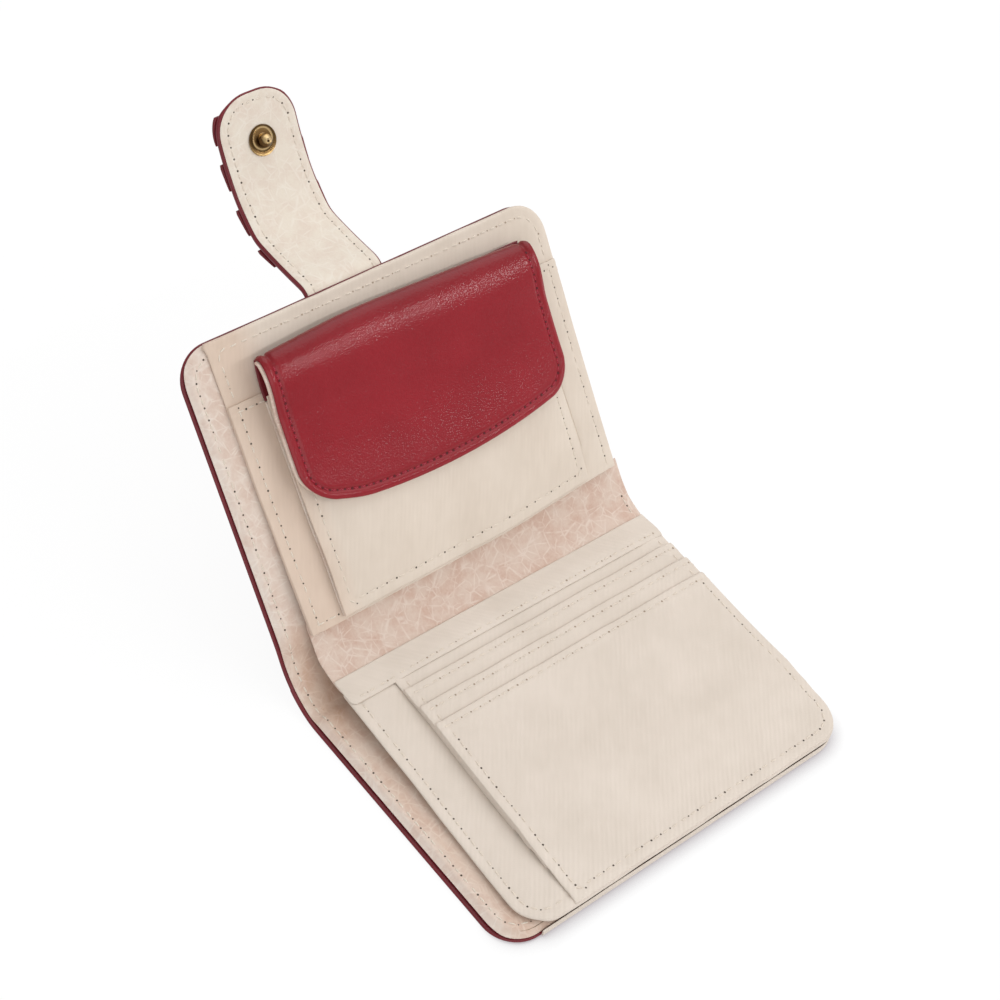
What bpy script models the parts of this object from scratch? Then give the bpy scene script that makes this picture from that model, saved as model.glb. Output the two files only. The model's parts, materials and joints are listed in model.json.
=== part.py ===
"""Two-fold wallet with card slots, a coin pouch under a flap and a strap with a snap.

The card half lies flat on its cover and the coin half stands up behind the fold.
Each half is drawn flat in its own frame: u runs from the fold to the free edge, y along
the fold and h up from the cover's outer face. Empties on the fold axes place the halves.
"""
import math

import bmesh
import bpy
from mathutils import Vector

# Cover: one outer skin of leather, board and lining for each half
COVER_LENGTH = 0.082
ORIGIN_TO_EDGE = 0.040
COVER_WIDTH = 0.118
COVER_CORNER = 0.010
LEATHER = 0.0009
CARD_BOARD = 0.0015
COIN_BOARD = 0.0009
BOARD_INSET = 0.0025
LINING = 0.0004
LINING_INSET = 0.0005

# Gaps: between layers that lie on each other, between moving ends, and beside a fold axis
LAY_GAP = 0.0002
SEAT_GAP = 0.0003
LEATHER_SETBACK = 0.0006
BOARD_SETBACK = 0.0018
LINING_SETBACK = 0.0022

# Fold: the soft strip of cover between the two halves
SPINE_WIDTH = 0.0204
SPINE_BOW = 0.0022
SPINE_TILT = math.radians(37.1)
COIN_TILT = math.radians(12.2)
STRIP_THICKNESS = 0.0005
STRIP_SAG = 0.0012

# Inner panels, narrower than the cover so that notes slide in from the left
PANEL_WIDTH = 0.109
CARD_PANEL = 0.0006
COIN_PANEL = 0.00045
PANEL_BACKING = 0.0005
BACKING_INSET = 0.003
PANEL_CORNER = 0.009
PANEL_SETBACK = 0.0012
EDGE_INSET = 0.0002
GAPE_LENGTH = 0.050
CARD_GAPE = 0.0036
COIN_GAPE = 0.0018
GAPE_AT_SEAM = 0.65

# Card slots
SLOT_COUNT = 4
SLOT_WIDTH = 0.0965
SLOT_THICKNESS = 0.0005
SLOT_FIRST = 0.0025
SLOT_STEP = 0.0065
SLOT_DEPTH = 0.054
SLOT_RAMP = 0.006

# Coin half pockets and pouch
SLIP_ABOVE_POUCH = 0.0006
SLIP_THICKNESS = 0.0005
POUCH_WIDTH = 0.087
POUCH_LEFT_MARGIN = 0.0101
POUCH_FOOT = 0.0040
POUCH_MOUTH = 0.064
POUCH_BACK = 0.0006
POUCH_CLOTH = 0.0006
POUCH_EDGE_DEPTH = 0.0009
POUCH_DOME = 0.0025
POUCH_DOME_RUN = 0.034

# Flap over the pouch
FLAP_OVERHANG = 0.0006
FLAP_PIVOT_ABOVE_POUCH = 0.0110
FLAP_PIVOT_H = 0.0076
FLAP_FOLD_RADIUS = 0.0022
FLAP_FOLD_SETBACK = 0.0021
FLAP_FOLD_LIFT = 0.0013
FLAP_ROOT = 0.0115
FLAP_ROOT_LEATHER = 0.0007
FLAP_LEATHER = 0.0009
FLAP_LINING = 0.0004
FLAP_LAY_GAP = 0.00015
FLAP_REACH = 0.028
FLAP_CORNER_RISE = 0.0048
FLAP_CORNER = 0.008
MAGNET_RADIUS = 0.0042
MAGNET_THICKNESS = 0.0004
MAGNET_U = 0.044

# Strap
STRAP_WIDTH = 0.0245
STRAP_LEATHER = 0.0009
STRAP_LINING = 0.00035
STRAP_LAY_GAP = 0.00015
STRAP_CENTRE = -0.0045
STRAP_EDGE_GAP = 0.0004
STRAP_ROOT_TILT = math.radians(-53.3)
STRAP_LINKS = (
    ("root", 0.0215, math.radians(8.0), 0.0),
    ("mid", 0.01125, math.radians(11.25), math.radians(27.0)),
    ("tip", 0.02715, math.radians(22.0), math.radians(5.0)),
)
KNUCKLE_GAP = 0.00025
ANCHOR_LENGTH = 0.024
BAND_THICK = 0.0009
BAND_THIN = 0.0003
BAND_LENGTH = 0.0065
BAND_PROUD = 0.0005
BAND_ENDS = (("root", 0.0190), ("mid", 0.0085), ("tip", 0.00925), ("tip", 0.02125))

# Snap: the stud on the strap and the socket sunk in the card cover
STUD_FROM_TIP = 0.0142
STUD_RADIUS = 0.0042
STUD_FLANGE = 0.0006
STUD_BALL_RADIUS = 0.0019
STUD_HEIGHT = 0.0033
RIVET_RADIUS = 0.0038
RIVET_FLANGE = 0.0003
RIVET_POST = 0.0010
SOCKET_U = 0.06195
SOCKET_RADIUS = 0.0055
SOCKET_MOUTH = 0.0023
DISH_DEPTH = 0.0012
DISH_FLOOR = 0.0064
DISH_RIM = 0.0088
EYELET_RADIUS = 0.0042
EYELET_TUBE = 0.0017

# Mesh counts
CORNER_STEPS = 6
ROUND_STEPS = 32
COLUMNS = 6
DOME_COLUMNS = 12

# Heights that follow from the layers
HALF_WIDTH = COVER_WIDTH / 2
AXIS_HEIGHT = LEATHER / 2
BOARD_LOW = LEATHER + LAY_GAP
CARD_LINING_LOW = BOARD_LOW + CARD_BOARD + LAY_GAP
COIN_LINING_LOW = BOARD_LOW + COIN_BOARD + LAY_GAP
CARD_BACKING_LOW = CARD_LINING_LOW + LINING + LAY_GAP
CARD_PANEL_LOW = CARD_BACKING_LOW + PANEL_BACKING + LAY_GAP
COIN_PANEL_LOW = COIN_LINING_LOW + LINING + LAY_GAP
SLIP_TOP = POUCH_MOUTH + SLIP_ABOVE_POUCH
FLAP_PIVOT_U = POUCH_MOUTH + FLAP_PIVOT_ABOVE_POUCH
FLAP_FOLD_U = FLAP_PIVOT_U - FLAP_FOLD_SETBACK
FLAP_FOLD_H = FLAP_PIVOT_H + FLAP_FOLD_LIFT
SLIP_RISE = COIN_PANEL + LAY_GAP
POUCH_RISE = SLIP_RISE + SLIP_THICKNESS + LAY_GAP
PANEL_RIGHT = HALF_WIDTH - EDGE_INSET
PANEL_LEFT = PANEL_RIGHT - PANEL_WIDTH
PANEL_END = COVER_LENGTH - EDGE_INSET
SLOT_LEFT = PANEL_RIGHT - SLOT_WIDTH
SLOT_RISE = SLOT_THICKNESS + LAY_GAP
POUCH_LEFT = PANEL_LEFT + POUCH_LEFT_MARGIN
POUCH_RIGHT = POUCH_LEFT + POUCH_WIDTH
POUCH_CENTRE = (POUCH_LEFT + POUCH_RIGHT) / 2
FLAP_THICKNESS = FLAP_LINING + FLAP_LAY_GAP + FLAP_LEATHER
STRAP_THICKNESS = STRAP_LEATHER + STRAP_LAY_GAP + STRAP_LINING
STRAP_PIVOT_U = COVER_LENGTH + STRAP_EDGE_GAP + STRAP_THICKNESS / 2
STRAP_PIVOT_H = -(SEAT_GAP + STRAP_LEATHER / 2)


def clear_scene():
    for item in list(bpy.data.objects):
        bpy.data.objects.remove(item, do_unlink=True)


def make_material(name, colour, roughness, metallic=0.0):
    material = bpy.data.materials.new(name)
    material.use_nodes = True
    shader = material.node_tree.nodes["Principled BSDF"]
    shader.inputs["Base Color"].default_value = (*colour, 1.0)
    shader.inputs["Roughness"].default_value = roughness
    shader.inputs["Metallic"].default_value = metallic
    return material


def make_pivot(name, location, tilt=0.0, parent=None):
    """An empty on a fold or hinge axis; a positive tilt lifts what lies on its -X side."""
    pivot = bpy.data.objects.new(name, None)
    bpy.context.collection.objects.link(pivot)
    pivot.location = location
    pivot.rotation_euler = (0.0, tilt, 0.0)
    pivot.parent = parent
    return pivot


def finish_object(name, bm, material, parent, location=(0.0, 0.0, 0.0), tilt=0.0, smooth=True):
    bmesh.ops.recalc_face_normals(bm, faces=bm.faces)
    mesh = bpy.data.meshes.new(name)
    bm.to_mesh(mesh)
    bm.free()
    mesh.materials.append(material)
    if smooth:
        mesh.shade_smooth()
        mesh.set_sharp_from_angle(angle=math.radians(35.0))
    item = bpy.data.objects.new(name, mesh)
    bpy.context.collection.objects.link(item)
    item.parent = parent
    item.location = location
    item.rotation_euler = (0.0, tilt, 0.0)
    return item


def cut(item, cutter):
    """Take the cutter's shape out of the item and keep the result in its mesh."""
    cutter.hide_render = True
    cutter.display_type = "WIRE"
    bpy.context.view_layer.update()
    modifier = item.modifiers.new("cut", "BOOLEAN")
    modifier.operation = "DIFFERENCE"
    modifier.solver = "EXACT"
    modifier.object = cutter


def slab(low_rows, high_rows):
    """A closed sheet between two grids of points with the same rows and columns."""
    bm = bmesh.new()
    low = [[bm.verts.new(point) for point in row] for row in low_rows]
    high = [[bm.verts.new(point) for point in row] for row in high_rows]
    last_row = len(low) - 1
    last_column = len(low[0]) - 1
    for i in range(last_row):
        for j in range(last_column):
            bm.faces.new((low[i][j], low[i + 1][j], low[i + 1][j + 1], low[i][j + 1]))
            bm.faces.new((high[i][j], high[i][j + 1], high[i + 1][j + 1], high[i + 1][j]))
    for i in range(last_row):
        for j in (0, last_column):
            bm.faces.new((low[i][j], high[i][j], high[i + 1][j], low[i + 1][j]))
    for j in range(last_column):
        for i in (0, last_row):
            bm.faces.new((low[i][j], low[i][j + 1], high[i][j + 1], high[i][j]))
    return bm


def corner_inset(u, end, radius):
    """How far a rounded corner draws the side in at u, before the end of a sheet."""
    past = u - (end - radius)
    if past <= 0.0:
        return 0.0
    return radius - math.sqrt(max(radius * radius - past * past, 0.0))


def stations(start, end, radius=0.0, breaks=()):
    """Places along u: the ends, each break between them and the steps round the corner."""
    places = {start, end - radius}
    for place in breaks:
        if start + LAY_GAP < place < end - radius - LAY_GAP:
            places.add(place)
    for step in range(1, CORNER_STEPS + 1):
        if radius > 0.0:
            places.add(end - radius + radius * math.sin(0.5 * math.pi * step / CORNER_STEPS))
    if radius == 0.0:
        places.add(end)
    return sorted(places)


def spread(low, high, count):
    return [low + (high - low) * step / count for step in range(count + 1)]


def sheet_rows(places, y_low, y_high, height, side, end=None, radius=0.0, columns=COLUMNS, square=False):
    """Rows of points over a half; side is 1 on the card half and -1 on the coin half."""
    rows = []
    for u in places:
        inset = corner_inset(u, end, radius) if radius else 0.0
        row_y = spread(y_low + (0.0 if square else inset), y_high - inset, columns)
        rows.append([Vector((side * u, y, height(u, y))) for y in row_y])
    return rows


def raised(rows, thickness):
    return [[point + Vector((0.0, 0.0, thickness)) for point in row] for row in rows]


def outline(x_near, x_far, y_low, y_high, radius):
    """A plate's outline: square at the fold, two round corners at the free edge."""
    points = [(x_near, y_low)]
    away = 1.0 if x_far > x_near else -1.0
    for step in range(CORNER_STEPS + 1):
        angle = 0.5 * math.pi * step / CORNER_STEPS
        x = x_far - away * radius * (1.0 - math.sin(angle))
        points.append((x, y_low + radius * (1.0 - math.cos(angle))))
    for step in range(CORNER_STEPS, -1, -1):
        angle = 0.5 * math.pi * step / CORNER_STEPS
        x = x_far - away * radius * (1.0 - math.sin(angle))
        points.append((x, y_high - radius * (1.0 - math.cos(angle))))
    points.append((x_near, y_high))
    return points


def circle(x, y, radius):
    turn = 2.0 * math.pi / ROUND_STEPS
    return [(x + radius * math.cos(k * turn), y + radius * math.sin(k * turn)) for k in range(ROUND_STEPS)]


def add_loop(bm, points, z):
    verts = [bm.verts.new((x, y, z)) for x, y in points]
    edges = [bm.edges.new((verts[k], verts[(k + 1) % len(verts)])) for k in range(len(verts))]
    return verts, edges


def plate(points, z_low, thickness, hole=None, dish=None):
    """A flat plate with an optional round hole or a pressed dish round a small hole.

    hole is (x, y, radius); dish is (x, y, rim radius, floor radius, hole radius, depth).
    """
    bm = bmesh.new()
    edges = add_loop(bm, points, z_low)[1]
    if hole:
        edges += add_loop(bm, circle(*hole), z_low)[1]
    if dish:
        x, y, rim, floor, bore, depth = dish
        rim_verts, rim_edges = add_loop(bm, circle(x, y, rim), z_low)
        edges += rim_edges
    bmesh.ops.triangle_fill(bm, use_beauty=True, use_dissolve=False, edges=edges, normal=(0.0, 0.0, 1.0))
    if dish:
        floor_verts = add_loop(bm, circle(x, y, floor), z_low + depth)[0]
        bore_verts = add_loop(bm, circle(x, y, bore), z_low + depth)[0]
        for ring, inner in ((rim_verts, floor_verts), (floor_verts, bore_verts)):
            for k in range(ROUND_STEPS):
                n = (k + 1) % ROUND_STEPS
                bm.faces.new((ring[k], ring[n], inner[n], inner[k]))
    bmesh.ops.recalc_face_normals(bm, faces=bm.faces)
    grown = bmesh.ops.extrude_face_region(bm, geom=bm.faces[:], use_keep_orig=True)
    new_verts = [part for part in grown["geom"] if isinstance(part, bmesh.types.BMVert)]
    bmesh.ops.translate(bm, verts=new_verts, vec=(0.0, 0.0, thickness))
    return bm


def turned(profile):
    """A ring turned about Z from a closed profile of (radius, height) points off the axis."""
    bm = bmesh.new()
    rings = []
    for k in range(ROUND_STEPS):
        angle = 2.0 * math.pi * k / ROUND_STEPS
        rings.append([bm.verts.new((r * math.cos(angle), r * math.sin(angle), z)) for r, z in profile])
    count = len(profile)
    for k in range(ROUND_STEPS):
        here = rings[k]
        there = rings[(k + 1) % ROUND_STEPS]
        for n in range(count):
            m = (n + 1) % count
            bm.faces.new((here[n], there[n], there[m], here[m]))
    return bm


def turned_solid(profile):
    """A solid turned about Z from (radius, height) points that starts and ends on the axis."""
    bm = bmesh.new()
    first = bm.verts.new((0.0, 0.0, profile[0][1]))
    last = bm.verts.new((0.0, 0.0, profile[-1][1]))
    rings = []
    for r, z in profile[1:-1]:
        turn = 2.0 * math.pi / ROUND_STEPS
        turns = [k * turn for k in range(ROUND_STEPS)]
        rings.append([bm.verts.new((r * math.cos(angle), r * math.sin(angle), z)) for angle in turns])
    for k in range(ROUND_STEPS):
        n = (k + 1) % ROUND_STEPS
        bm.faces.new((first, rings[0][n], rings[0][k]))
        bm.faces.new((last, rings[-1][k], rings[-1][n]))
        for lower, upper in zip(rings, rings[1:]):
            bm.faces.new((lower[k], lower[n], upper[n], upper[k]))
    return bm


def ramp(value, start, length):
    """0 before start, 1 after start + length and straight between."""
    return min(max((value - start) / length, 0.0), 1.0)


def gape(u, y, depth):
    """How far an inner panel stands off the cover: most at the fold, less at the seam."""
    across = (PANEL_RIGHT - y) / PANEL_WIDTH
    share = GAPE_AT_SEAM + (1.0 - GAPE_AT_SEAM) * across
    return depth * share * (1.0 - ramp(u, 0.0, GAPE_LENGTH))


def backing_low(u, y):
    return CARD_BACKING_LOW + gape(u, y, CARD_GAPE)


def card_panel_low(u, y):
    return CARD_PANEL_LOW + gape(u, y, CARD_GAPE)


def coin_panel_low(u, y):
    return COIN_PANEL_LOW + gape(u, y, COIN_GAPE)


def slot_start(index):
    return SLOT_FIRST + SLOT_STEP * index


def slot_end(index):
    if index == SLOT_COUNT - 1:
        return PANEL_END
    return slot_start(index) + SLOT_DEPTH


def slot_low(index, u, y):
    """A slot lies on the slots behind it and comes down past each one's end."""
    layers = sum(1.0 - ramp(u, slot_end(k) + SEAT_GAP, SLOT_RAMP) for k in range(index))
    return card_panel_low(u, y) + CARD_PANEL + LAY_GAP + layers * SLOT_RISE


def cover_lining(name, material, parent, location, side, low, wall_end, hole=None):
    """Lining whose right edge turns up to the panel and closes the note compartment."""
    end = COVER_LENGTH - LINING_INSET
    radius = COVER_CORNER - LINING_INSET
    top = low + LINING
    low_rows = []
    high_rows = []
    for u in stations(LINING_SETBACK, end, radius, (GAPE_LENGTH,)):
        inset = corner_inset(u, end, radius)
        left = -HALF_WIDTH + LINING_INSET + inset
        right = HALF_WIDTH - LINING_INSET - inset
        wall_top = max(wall_end(u, right) - LAY_GAP, top + LAY_GAP / 4)
        low_rows.append([(side * u, left, low), (side * u, right, low), (side * u, right, wall_top)])
        wall = right - LINING
        high_rows.append([(side * u, left, top), (side * u, wall, top), (side * u, wall, wall_top)])
    item = finish_object(name, slab(low_rows, high_rows), material, parent, location)
    if hole:
        x, y, radius = hole
        cutter = turned_solid(((0.0, 0.0), (radius, 0.0), (radius, LINING * 2), (0.0, LINING * 2)))
        tool = finish_object(name + "_cutter", cutter, material, parent, (x, y, low - LAY_GAP / 2))
        cut(item, tool)
    return item


def cover_half(label, side, parent, location, leather, board, lining, board_thickness, wall_end, snap=False):
    """Leather, board and lining of one half of the cover."""
    centre = (side * SOCKET_U, STRAP_CENTRE)
    dish = None
    board_hole = None
    lining_hole = None
    if snap:
        dish = (*centre, DISH_RIM, DISH_FLOOR, EYELET_TUBE + SEAT_GAP, DISH_DEPTH)
        board_hole = (*centre, DISH_RIM + LEATHER)
        lining_hole = (*centre, EYELET_RADIUS + SEAT_GAP)
    points = outline(side * LEATHER_SETBACK, side * COVER_LENGTH, -HALF_WIDTH, HALF_WIDTH, COVER_CORNER)
    bm = plate(points, 0.0, LEATHER, dish=dish)
    finish_object(label + "_cover_leather", bm, leather, parent, location, smooth=False)
    reach = HALF_WIDTH - BOARD_INSET
    points = outline(
        side * BOARD_SETBACK, side * (COVER_LENGTH - BOARD_INSET), -reach, reach, COVER_CORNER - BOARD_INSET
    )
    bm = plate(points, BOARD_LOW, board_thickness, hole=board_hole)
    finish_object(label + "_cover_board", bm, board, parent, location, smooth=False)
    low = BOARD_LOW + board_thickness + LAY_GAP
    cover_lining(label + "_cover_lining", lining, parent, location, side, low, wall_end, lining_hole)


def half_sheet(name, material, parent, location, side, start, end, y_low, y_high, low, thickness, radius=0.0,
               breaks=(), square=False):
    """A sheet over one half that follows a height rule, with round corners if it has a radius.

    A square sheet keeps its left corner square and rounds only the right one.
    """
    places = stations(start, end, radius, breaks)
    rows = sheet_rows(places, y_low, y_high, low, side, end, radius, square=square)
    bm = slab(rows, raised(rows, thickness))
    return finish_object(name, bm, material, parent, location)


def card_half(root, looks):
    """The half that lies flat: cover, note compartment, panel and card slots."""
    place = (0.0, 0.0, 0.0)
    cover_half(
        "card", 1, root, place, looks["leather"], looks["board"], looks["lining"], CARD_BOARD, backing_low,
        snap=True,
    )
    half_sheet(
        "card_panel_backing", looks["board"], root, place, 1, BACKING_INSET, PANEL_END - BACKING_INSET,
        PANEL_LEFT + BACKING_INSET, PANEL_RIGHT - EDGE_INSET, backing_low, PANEL_BACKING,
        PANEL_CORNER - BACKING_INSET, (GAPE_LENGTH,),
    )
    half_sheet(
        "card_panel", looks["weave"], root, place, 1, PANEL_SETBACK, PANEL_END, PANEL_LEFT, PANEL_RIGHT,
        card_panel_low, CARD_PANEL, PANEL_CORNER, (GAPE_LENGTH,),
    )
    ends = [slot_end(k) + SEAT_GAP for k in range(SLOT_COUNT - 1)]
    breaks = [GAPE_LENGTH, *ends, *[end + SLOT_RAMP for end in ends]]
    for index in range(SLOT_COUNT):
        front = index == SLOT_COUNT - 1
        half_sheet(
            f"card_slot_{index + 1}", looks["weave"], root, place, 1, slot_start(index), slot_end(index),
            SLOT_LEFT, PANEL_RIGHT, lambda u, y, k=index: slot_low(k, u, y), SLOT_THICKNESS,
            PANEL_CORNER if front else 0.0, breaks, square=front,
        )
    snap_socket(root, looks["brass"])


def snap_socket(root, brass):
    """Socket sunk in the pressed dish, and the eyelet that holds it from the lining side."""
    seat = DISH_DEPTH - LAY_GAP
    inner = SOCKET_MOUTH + LAY_GAP * 2
    profile = (
        (SOCKET_MOUTH, LAY_GAP),
        (SOCKET_MOUTH + LAY_GAP, 0.0),
        (SOCKET_RADIUS - LAY_GAP * 3, 0.0),
        (SOCKET_RADIUS, seat * 0.4),
        (SOCKET_RADIUS, seat),
        (inner, seat),
        (inner, seat * 0.6),
        (SOCKET_MOUTH, seat * 0.4),
    )
    finish_object("card_snap_socket", turned(profile), brass, root, (SOCKET_U, STRAP_CENTRE, 0.0))
    bore = EYELET_TUBE - LAY_GAP * 2
    under = CARD_LINING_LOW
    top = under + LINING
    profile = (
        (bore, DISH_DEPTH + LEATHER / 2),
        (EYELET_TUBE, DISH_DEPTH + LEATHER / 2),
        (EYELET_TUBE, under),
        (EYELET_RADIUS, under),
        (EYELET_RADIUS, top - LINING / 2),
        (EYELET_RADIUS - LINING / 2, top),
        (EYELET_TUBE + LINING / 2, top),
        (bore, top - LINING / 2),
    )
    finish_object("card_snap_eyelet", turned(profile), brass, root, (SOCKET_U, STRAP_CENTRE, 0.0))


def spine_bow(x):
    """The soft cover bows outwards between the two fold axes, in the fold's own frame."""
    middle = SPINE_WIDTH / 2
    return -SPINE_BOW * (1.0 - ((x + middle) / middle) ** 2)


def spine(pivot, looks):
    """The soft part of the cover that bends between the halves."""
    for name, material, setback, low, thickness, inset in (
        ("spine_leather", looks["leather"], LEATHER_SETBACK, -LEATHER / 2, LEATHER, 0.0),
        ("spine_lining", looks["lining"], LINING_SETBACK, LEATHER / 2 + LAY_GAP, LINING, LINING_INSET),
    ):
        reach = HALF_WIDTH - inset
        rows = []
        for x in spread(-setback, -SPINE_WIDTH + setback, 10):
            rows.append([Vector((x, y, spine_bow(x) + low)) for y in spread(-reach, reach, 2)])
        finish_object(name, slab(rows, raised(rows, thickness)), material, pivot)


def fold_point(u, h, tilt, base):
    """A point of the coin half's section, seen in the fold's frame."""
    x = -u * math.cos(tilt) + (h - AXIS_HEIGHT) * math.sin(tilt)
    z = u * math.sin(tilt) + (h - AXIS_HEIGHT) * math.cos(tilt)
    return Vector((base + x, 0.0, z))


def inner_strip(pivot, looks):
    """Lining cloth that joins the two inner panels across the fold."""
    rows_low = []
    rows_high = []
    for y in spread(PANEL_LEFT, PANEL_RIGHT, 4):
        card_h = card_panel_low(PANEL_SETBACK, y) - AXIS_HEIGHT
        coin_h = coin_panel_low(PANEL_SETBACK, y)
        card_u = PANEL_SETBACK - SEAT_GAP - STRIP_THICKNESS
        start = Vector((
            card_u * math.cos(SPINE_TILT) - card_h * math.sin(SPINE_TILT),
            0.0,
            card_u * math.sin(SPINE_TILT) + card_h * math.cos(SPINE_TILT),
        ))
        end = fold_point(PANEL_SETBACK - SEAT_GAP - STRIP_THICKNESS, coin_h, COIN_TILT, -SPINE_WIDTH)
        low = []
        high = []
        for share in spread(0.0, 1.0, 8):
            point = start.lerp(end, share)
            point.y = y
            point.z -= STRIP_SAG * math.sin(math.pi * share)
            low.append(point)
            high.append(point + Vector((0.0, 0.0, STRIP_THICKNESS)))
        rows_low.append(low)
        rows_high.append(high)
    finish_object("inner_spine_strip", slab(rows_low, rows_high), looks["lining"], pivot)


def pouch_back_low(u, y):
    """The pouch's back lies on the slip pocket."""
    return coin_panel_low(u, y) + POUCH_RISE


def flap_root_low(u, y):
    """The flap's root is sewn above the pouch's back and rises to the flap's hinge."""
    rise = FLAP_PIVOT_H - FLAP_ROOT_LEATHER * 2 - pouch_back_low(FLAP_PIVOT_U, y)
    share = ramp(u, POUCH_MOUTH, FLAP_PIVOT_U - POUCH_MOUTH)
    return pouch_back_low(u, y) + rise * share * share


def dome(y):
    """1 at the middle of the pouch and 0 at its sides."""
    across = abs(y - POUCH_CENTRE) / (POUCH_WIDTH / 2)
    return 1.0 - min(across, 1.0) ** 4


def pouch_front_low(u, y):
    """The pouch's front: close to the back at its foot and sides, swelling in the middle."""
    back_top = pouch_back_low(u, y) + FLAP_ROOT_LEATHER
    edge = LAY_GAP + (POUCH_EDGE_DEPTH - LAY_GAP) * ramp(u, POUCH_FOOT, POUCH_DOME_RUN / 3)
    rise = math.sin(0.5 * math.pi * ramp(u, POUCH_FOOT, POUCH_DOME_RUN))
    return back_top + edge + POUCH_DOME * rise * dome(y)


def dome_places(start, end):
    steps = int(round((end - start) / (POUCH_DOME_RUN / 6)))
    return spread(start, end, max(steps, 4))


def coin_half(pivot, looks):
    """The half that stands up: cover, panel, slip pocket and coin pouch."""
    place = (0.0, 0.0, -AXIS_HEIGHT)
    cover_half(
        "coin", -1, pivot, place, looks["leather"], looks["card"], looks["lining"], COIN_BOARD, coin_panel_low
    )
    half_sheet(
        "coin_panel", looks["weave"], pivot, place, -1, PANEL_SETBACK, PANEL_END, PANEL_LEFT, PANEL_RIGHT,
        coin_panel_low, COIN_PANEL, PANEL_CORNER, (GAPE_LENGTH,), square=True,
    )
    half_sheet(
        "slip_pocket", looks["weave"], pivot, place, -1, PANEL_SETBACK, SLIP_TOP, PANEL_LEFT, PANEL_RIGHT,
        lambda u, y: coin_panel_low(u, y) + SLIP_RISE, SLIP_THICKNESS, 0.0, (GAPE_LENGTH,),
    )
    root_end = FLAP_PIVOT_U - FLAP_THICKNESS
    root_start = root_end - FLAP_ROOT
    half_sheet(
        "pouch_back", looks["lining"], pivot, place, -1, POUCH_FOOT, root_start - SEAT_GAP, POUCH_LEFT,
        POUCH_RIGHT, pouch_back_low, POUCH_BACK, 0.0, (GAPE_LENGTH,),
    )
    half_sheet(
        "flap_root", looks["leather"], pivot, place, -1, root_start, root_end, POUCH_LEFT, POUCH_RIGHT,
        flap_root_low, FLAP_ROOT_LEATHER, 0.0, spread(POUCH_MOUTH, root_end, 4),
    )
    pouch_front(pivot, place, looks)
    anchor_low = -SEAT_GAP - STRAP_LEATHER
    half = STRAP_WIDTH / 2
    points = outline(
        -(STRAP_PIVOT_U - STRAP_THICKNESS / 2 - KNUCKLE_GAP), -(STRAP_PIVOT_U - ANCHOR_LENGTH),
        STRAP_CENTRE - half, STRAP_CENTRE + half, half * 0.6,
    )
    finish_object("strap_anchor", plate(points, anchor_low, STRAP_LEATHER), looks["leather"], pivot, place,
                  smooth=False)


def pouch_front(pivot, place, looks):
    """Domed front of the pouch, its two folded side gussets and the hidden magnet."""
    places = dome_places(POUCH_FOOT, POUCH_MOUTH)
    rows = sheet_rows(places, POUCH_LEFT, POUCH_RIGHT, pouch_front_low, -1, columns=DOME_COLUMNS)
    finish_object("pouch_front", slab(rows, raised(rows, POUCH_CLOTH)), looks["weave"], pivot, place)
    gusset_places = dome_places(POUCH_FOOT + POUCH_DOME_RUN / 3, POUCH_MOUTH)
    step = POUCH_WIDTH / DOME_COLUMNS
    for name, near, far in (
        ("pouch_gusset_left", POUCH_LEFT, POUCH_LEFT + step),
        ("pouch_gusset_right", POUCH_RIGHT - step, POUCH_RIGHT),
    ):
        low_rows = []
        high_rows = []
        for u in gusset_places:
            low = []
            high = []
            for y in (near, far):
                back_top = pouch_back_low(u, y) + FLAP_ROOT_LEATHER
                low.append(Vector((-u, y, back_top + LAY_GAP)))
                high.append(Vector((-u, y, pouch_front_low(u, y) - LAY_GAP)))
            low_rows.append(low)
            high_rows.append(high)
        finish_object(name, slab(low_rows, high_rows), looks["weave"], pivot, place)
    top = pouch_front_low(MAGNET_U, POUCH_CENTRE) - LAY_GAP
    low = top - MAGNET_THICKNESS
    disc = ((0.0, low), (MAGNET_RADIUS, low), (MAGNET_RADIUS, top), (0.0, top))
    seat = (-MAGNET_U, POUCH_CENTRE, place[2])
    finish_object("pouch_magnet", turned_solid(disc), looks["steel"], pivot, seat)


def flap_under(u, y):
    """Underside of the closed flap over the pouch."""
    gap = SEAT_GAP * (2.0 - ramp(u, FLAP_REACH, POUCH_MOUTH - FLAP_REACH))
    crown = pouch_back_low(u, y) + FLAP_ROOT_LEATHER + POUCH_EDGE_DEPTH + POUCH_DOME + POUCH_CLOTH + gap
    droop = POUCH_DOME * 0.35 * (1.0 - dome(y))
    return crown - droop


def flap_end(y):
    """Where the flap's lower edge lies at y: a shallow curve with round corners."""
    half = POUCH_WIDTH / 2 + FLAP_OVERHANG
    across = min(abs(y - POUCH_CENTRE) / half, 1.0)
    end = FLAP_REACH + FLAP_CORNER_RISE * across * across
    return end + corner_inset(across * half, half, FLAP_CORNER)


def flap_columns():
    half = POUCH_WIDTH / 2 + FLAP_OVERHANG
    places = {0.0}
    for step in range(1, DOME_COLUMNS // 2):
        places.add((half - FLAP_CORNER) * step / (DOME_COLUMNS // 2 - 1))
    for step in range(1, CORNER_STEPS + 1):
        places.add(half - FLAP_CORNER + FLAP_CORNER * math.sin(0.5 * math.pi * step / CORNER_STEPS))
    right = sorted(places)
    return [POUCH_CENTRE - y for y in reversed(right[1:])] + [POUCH_CENTRE + y for y in right]


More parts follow.
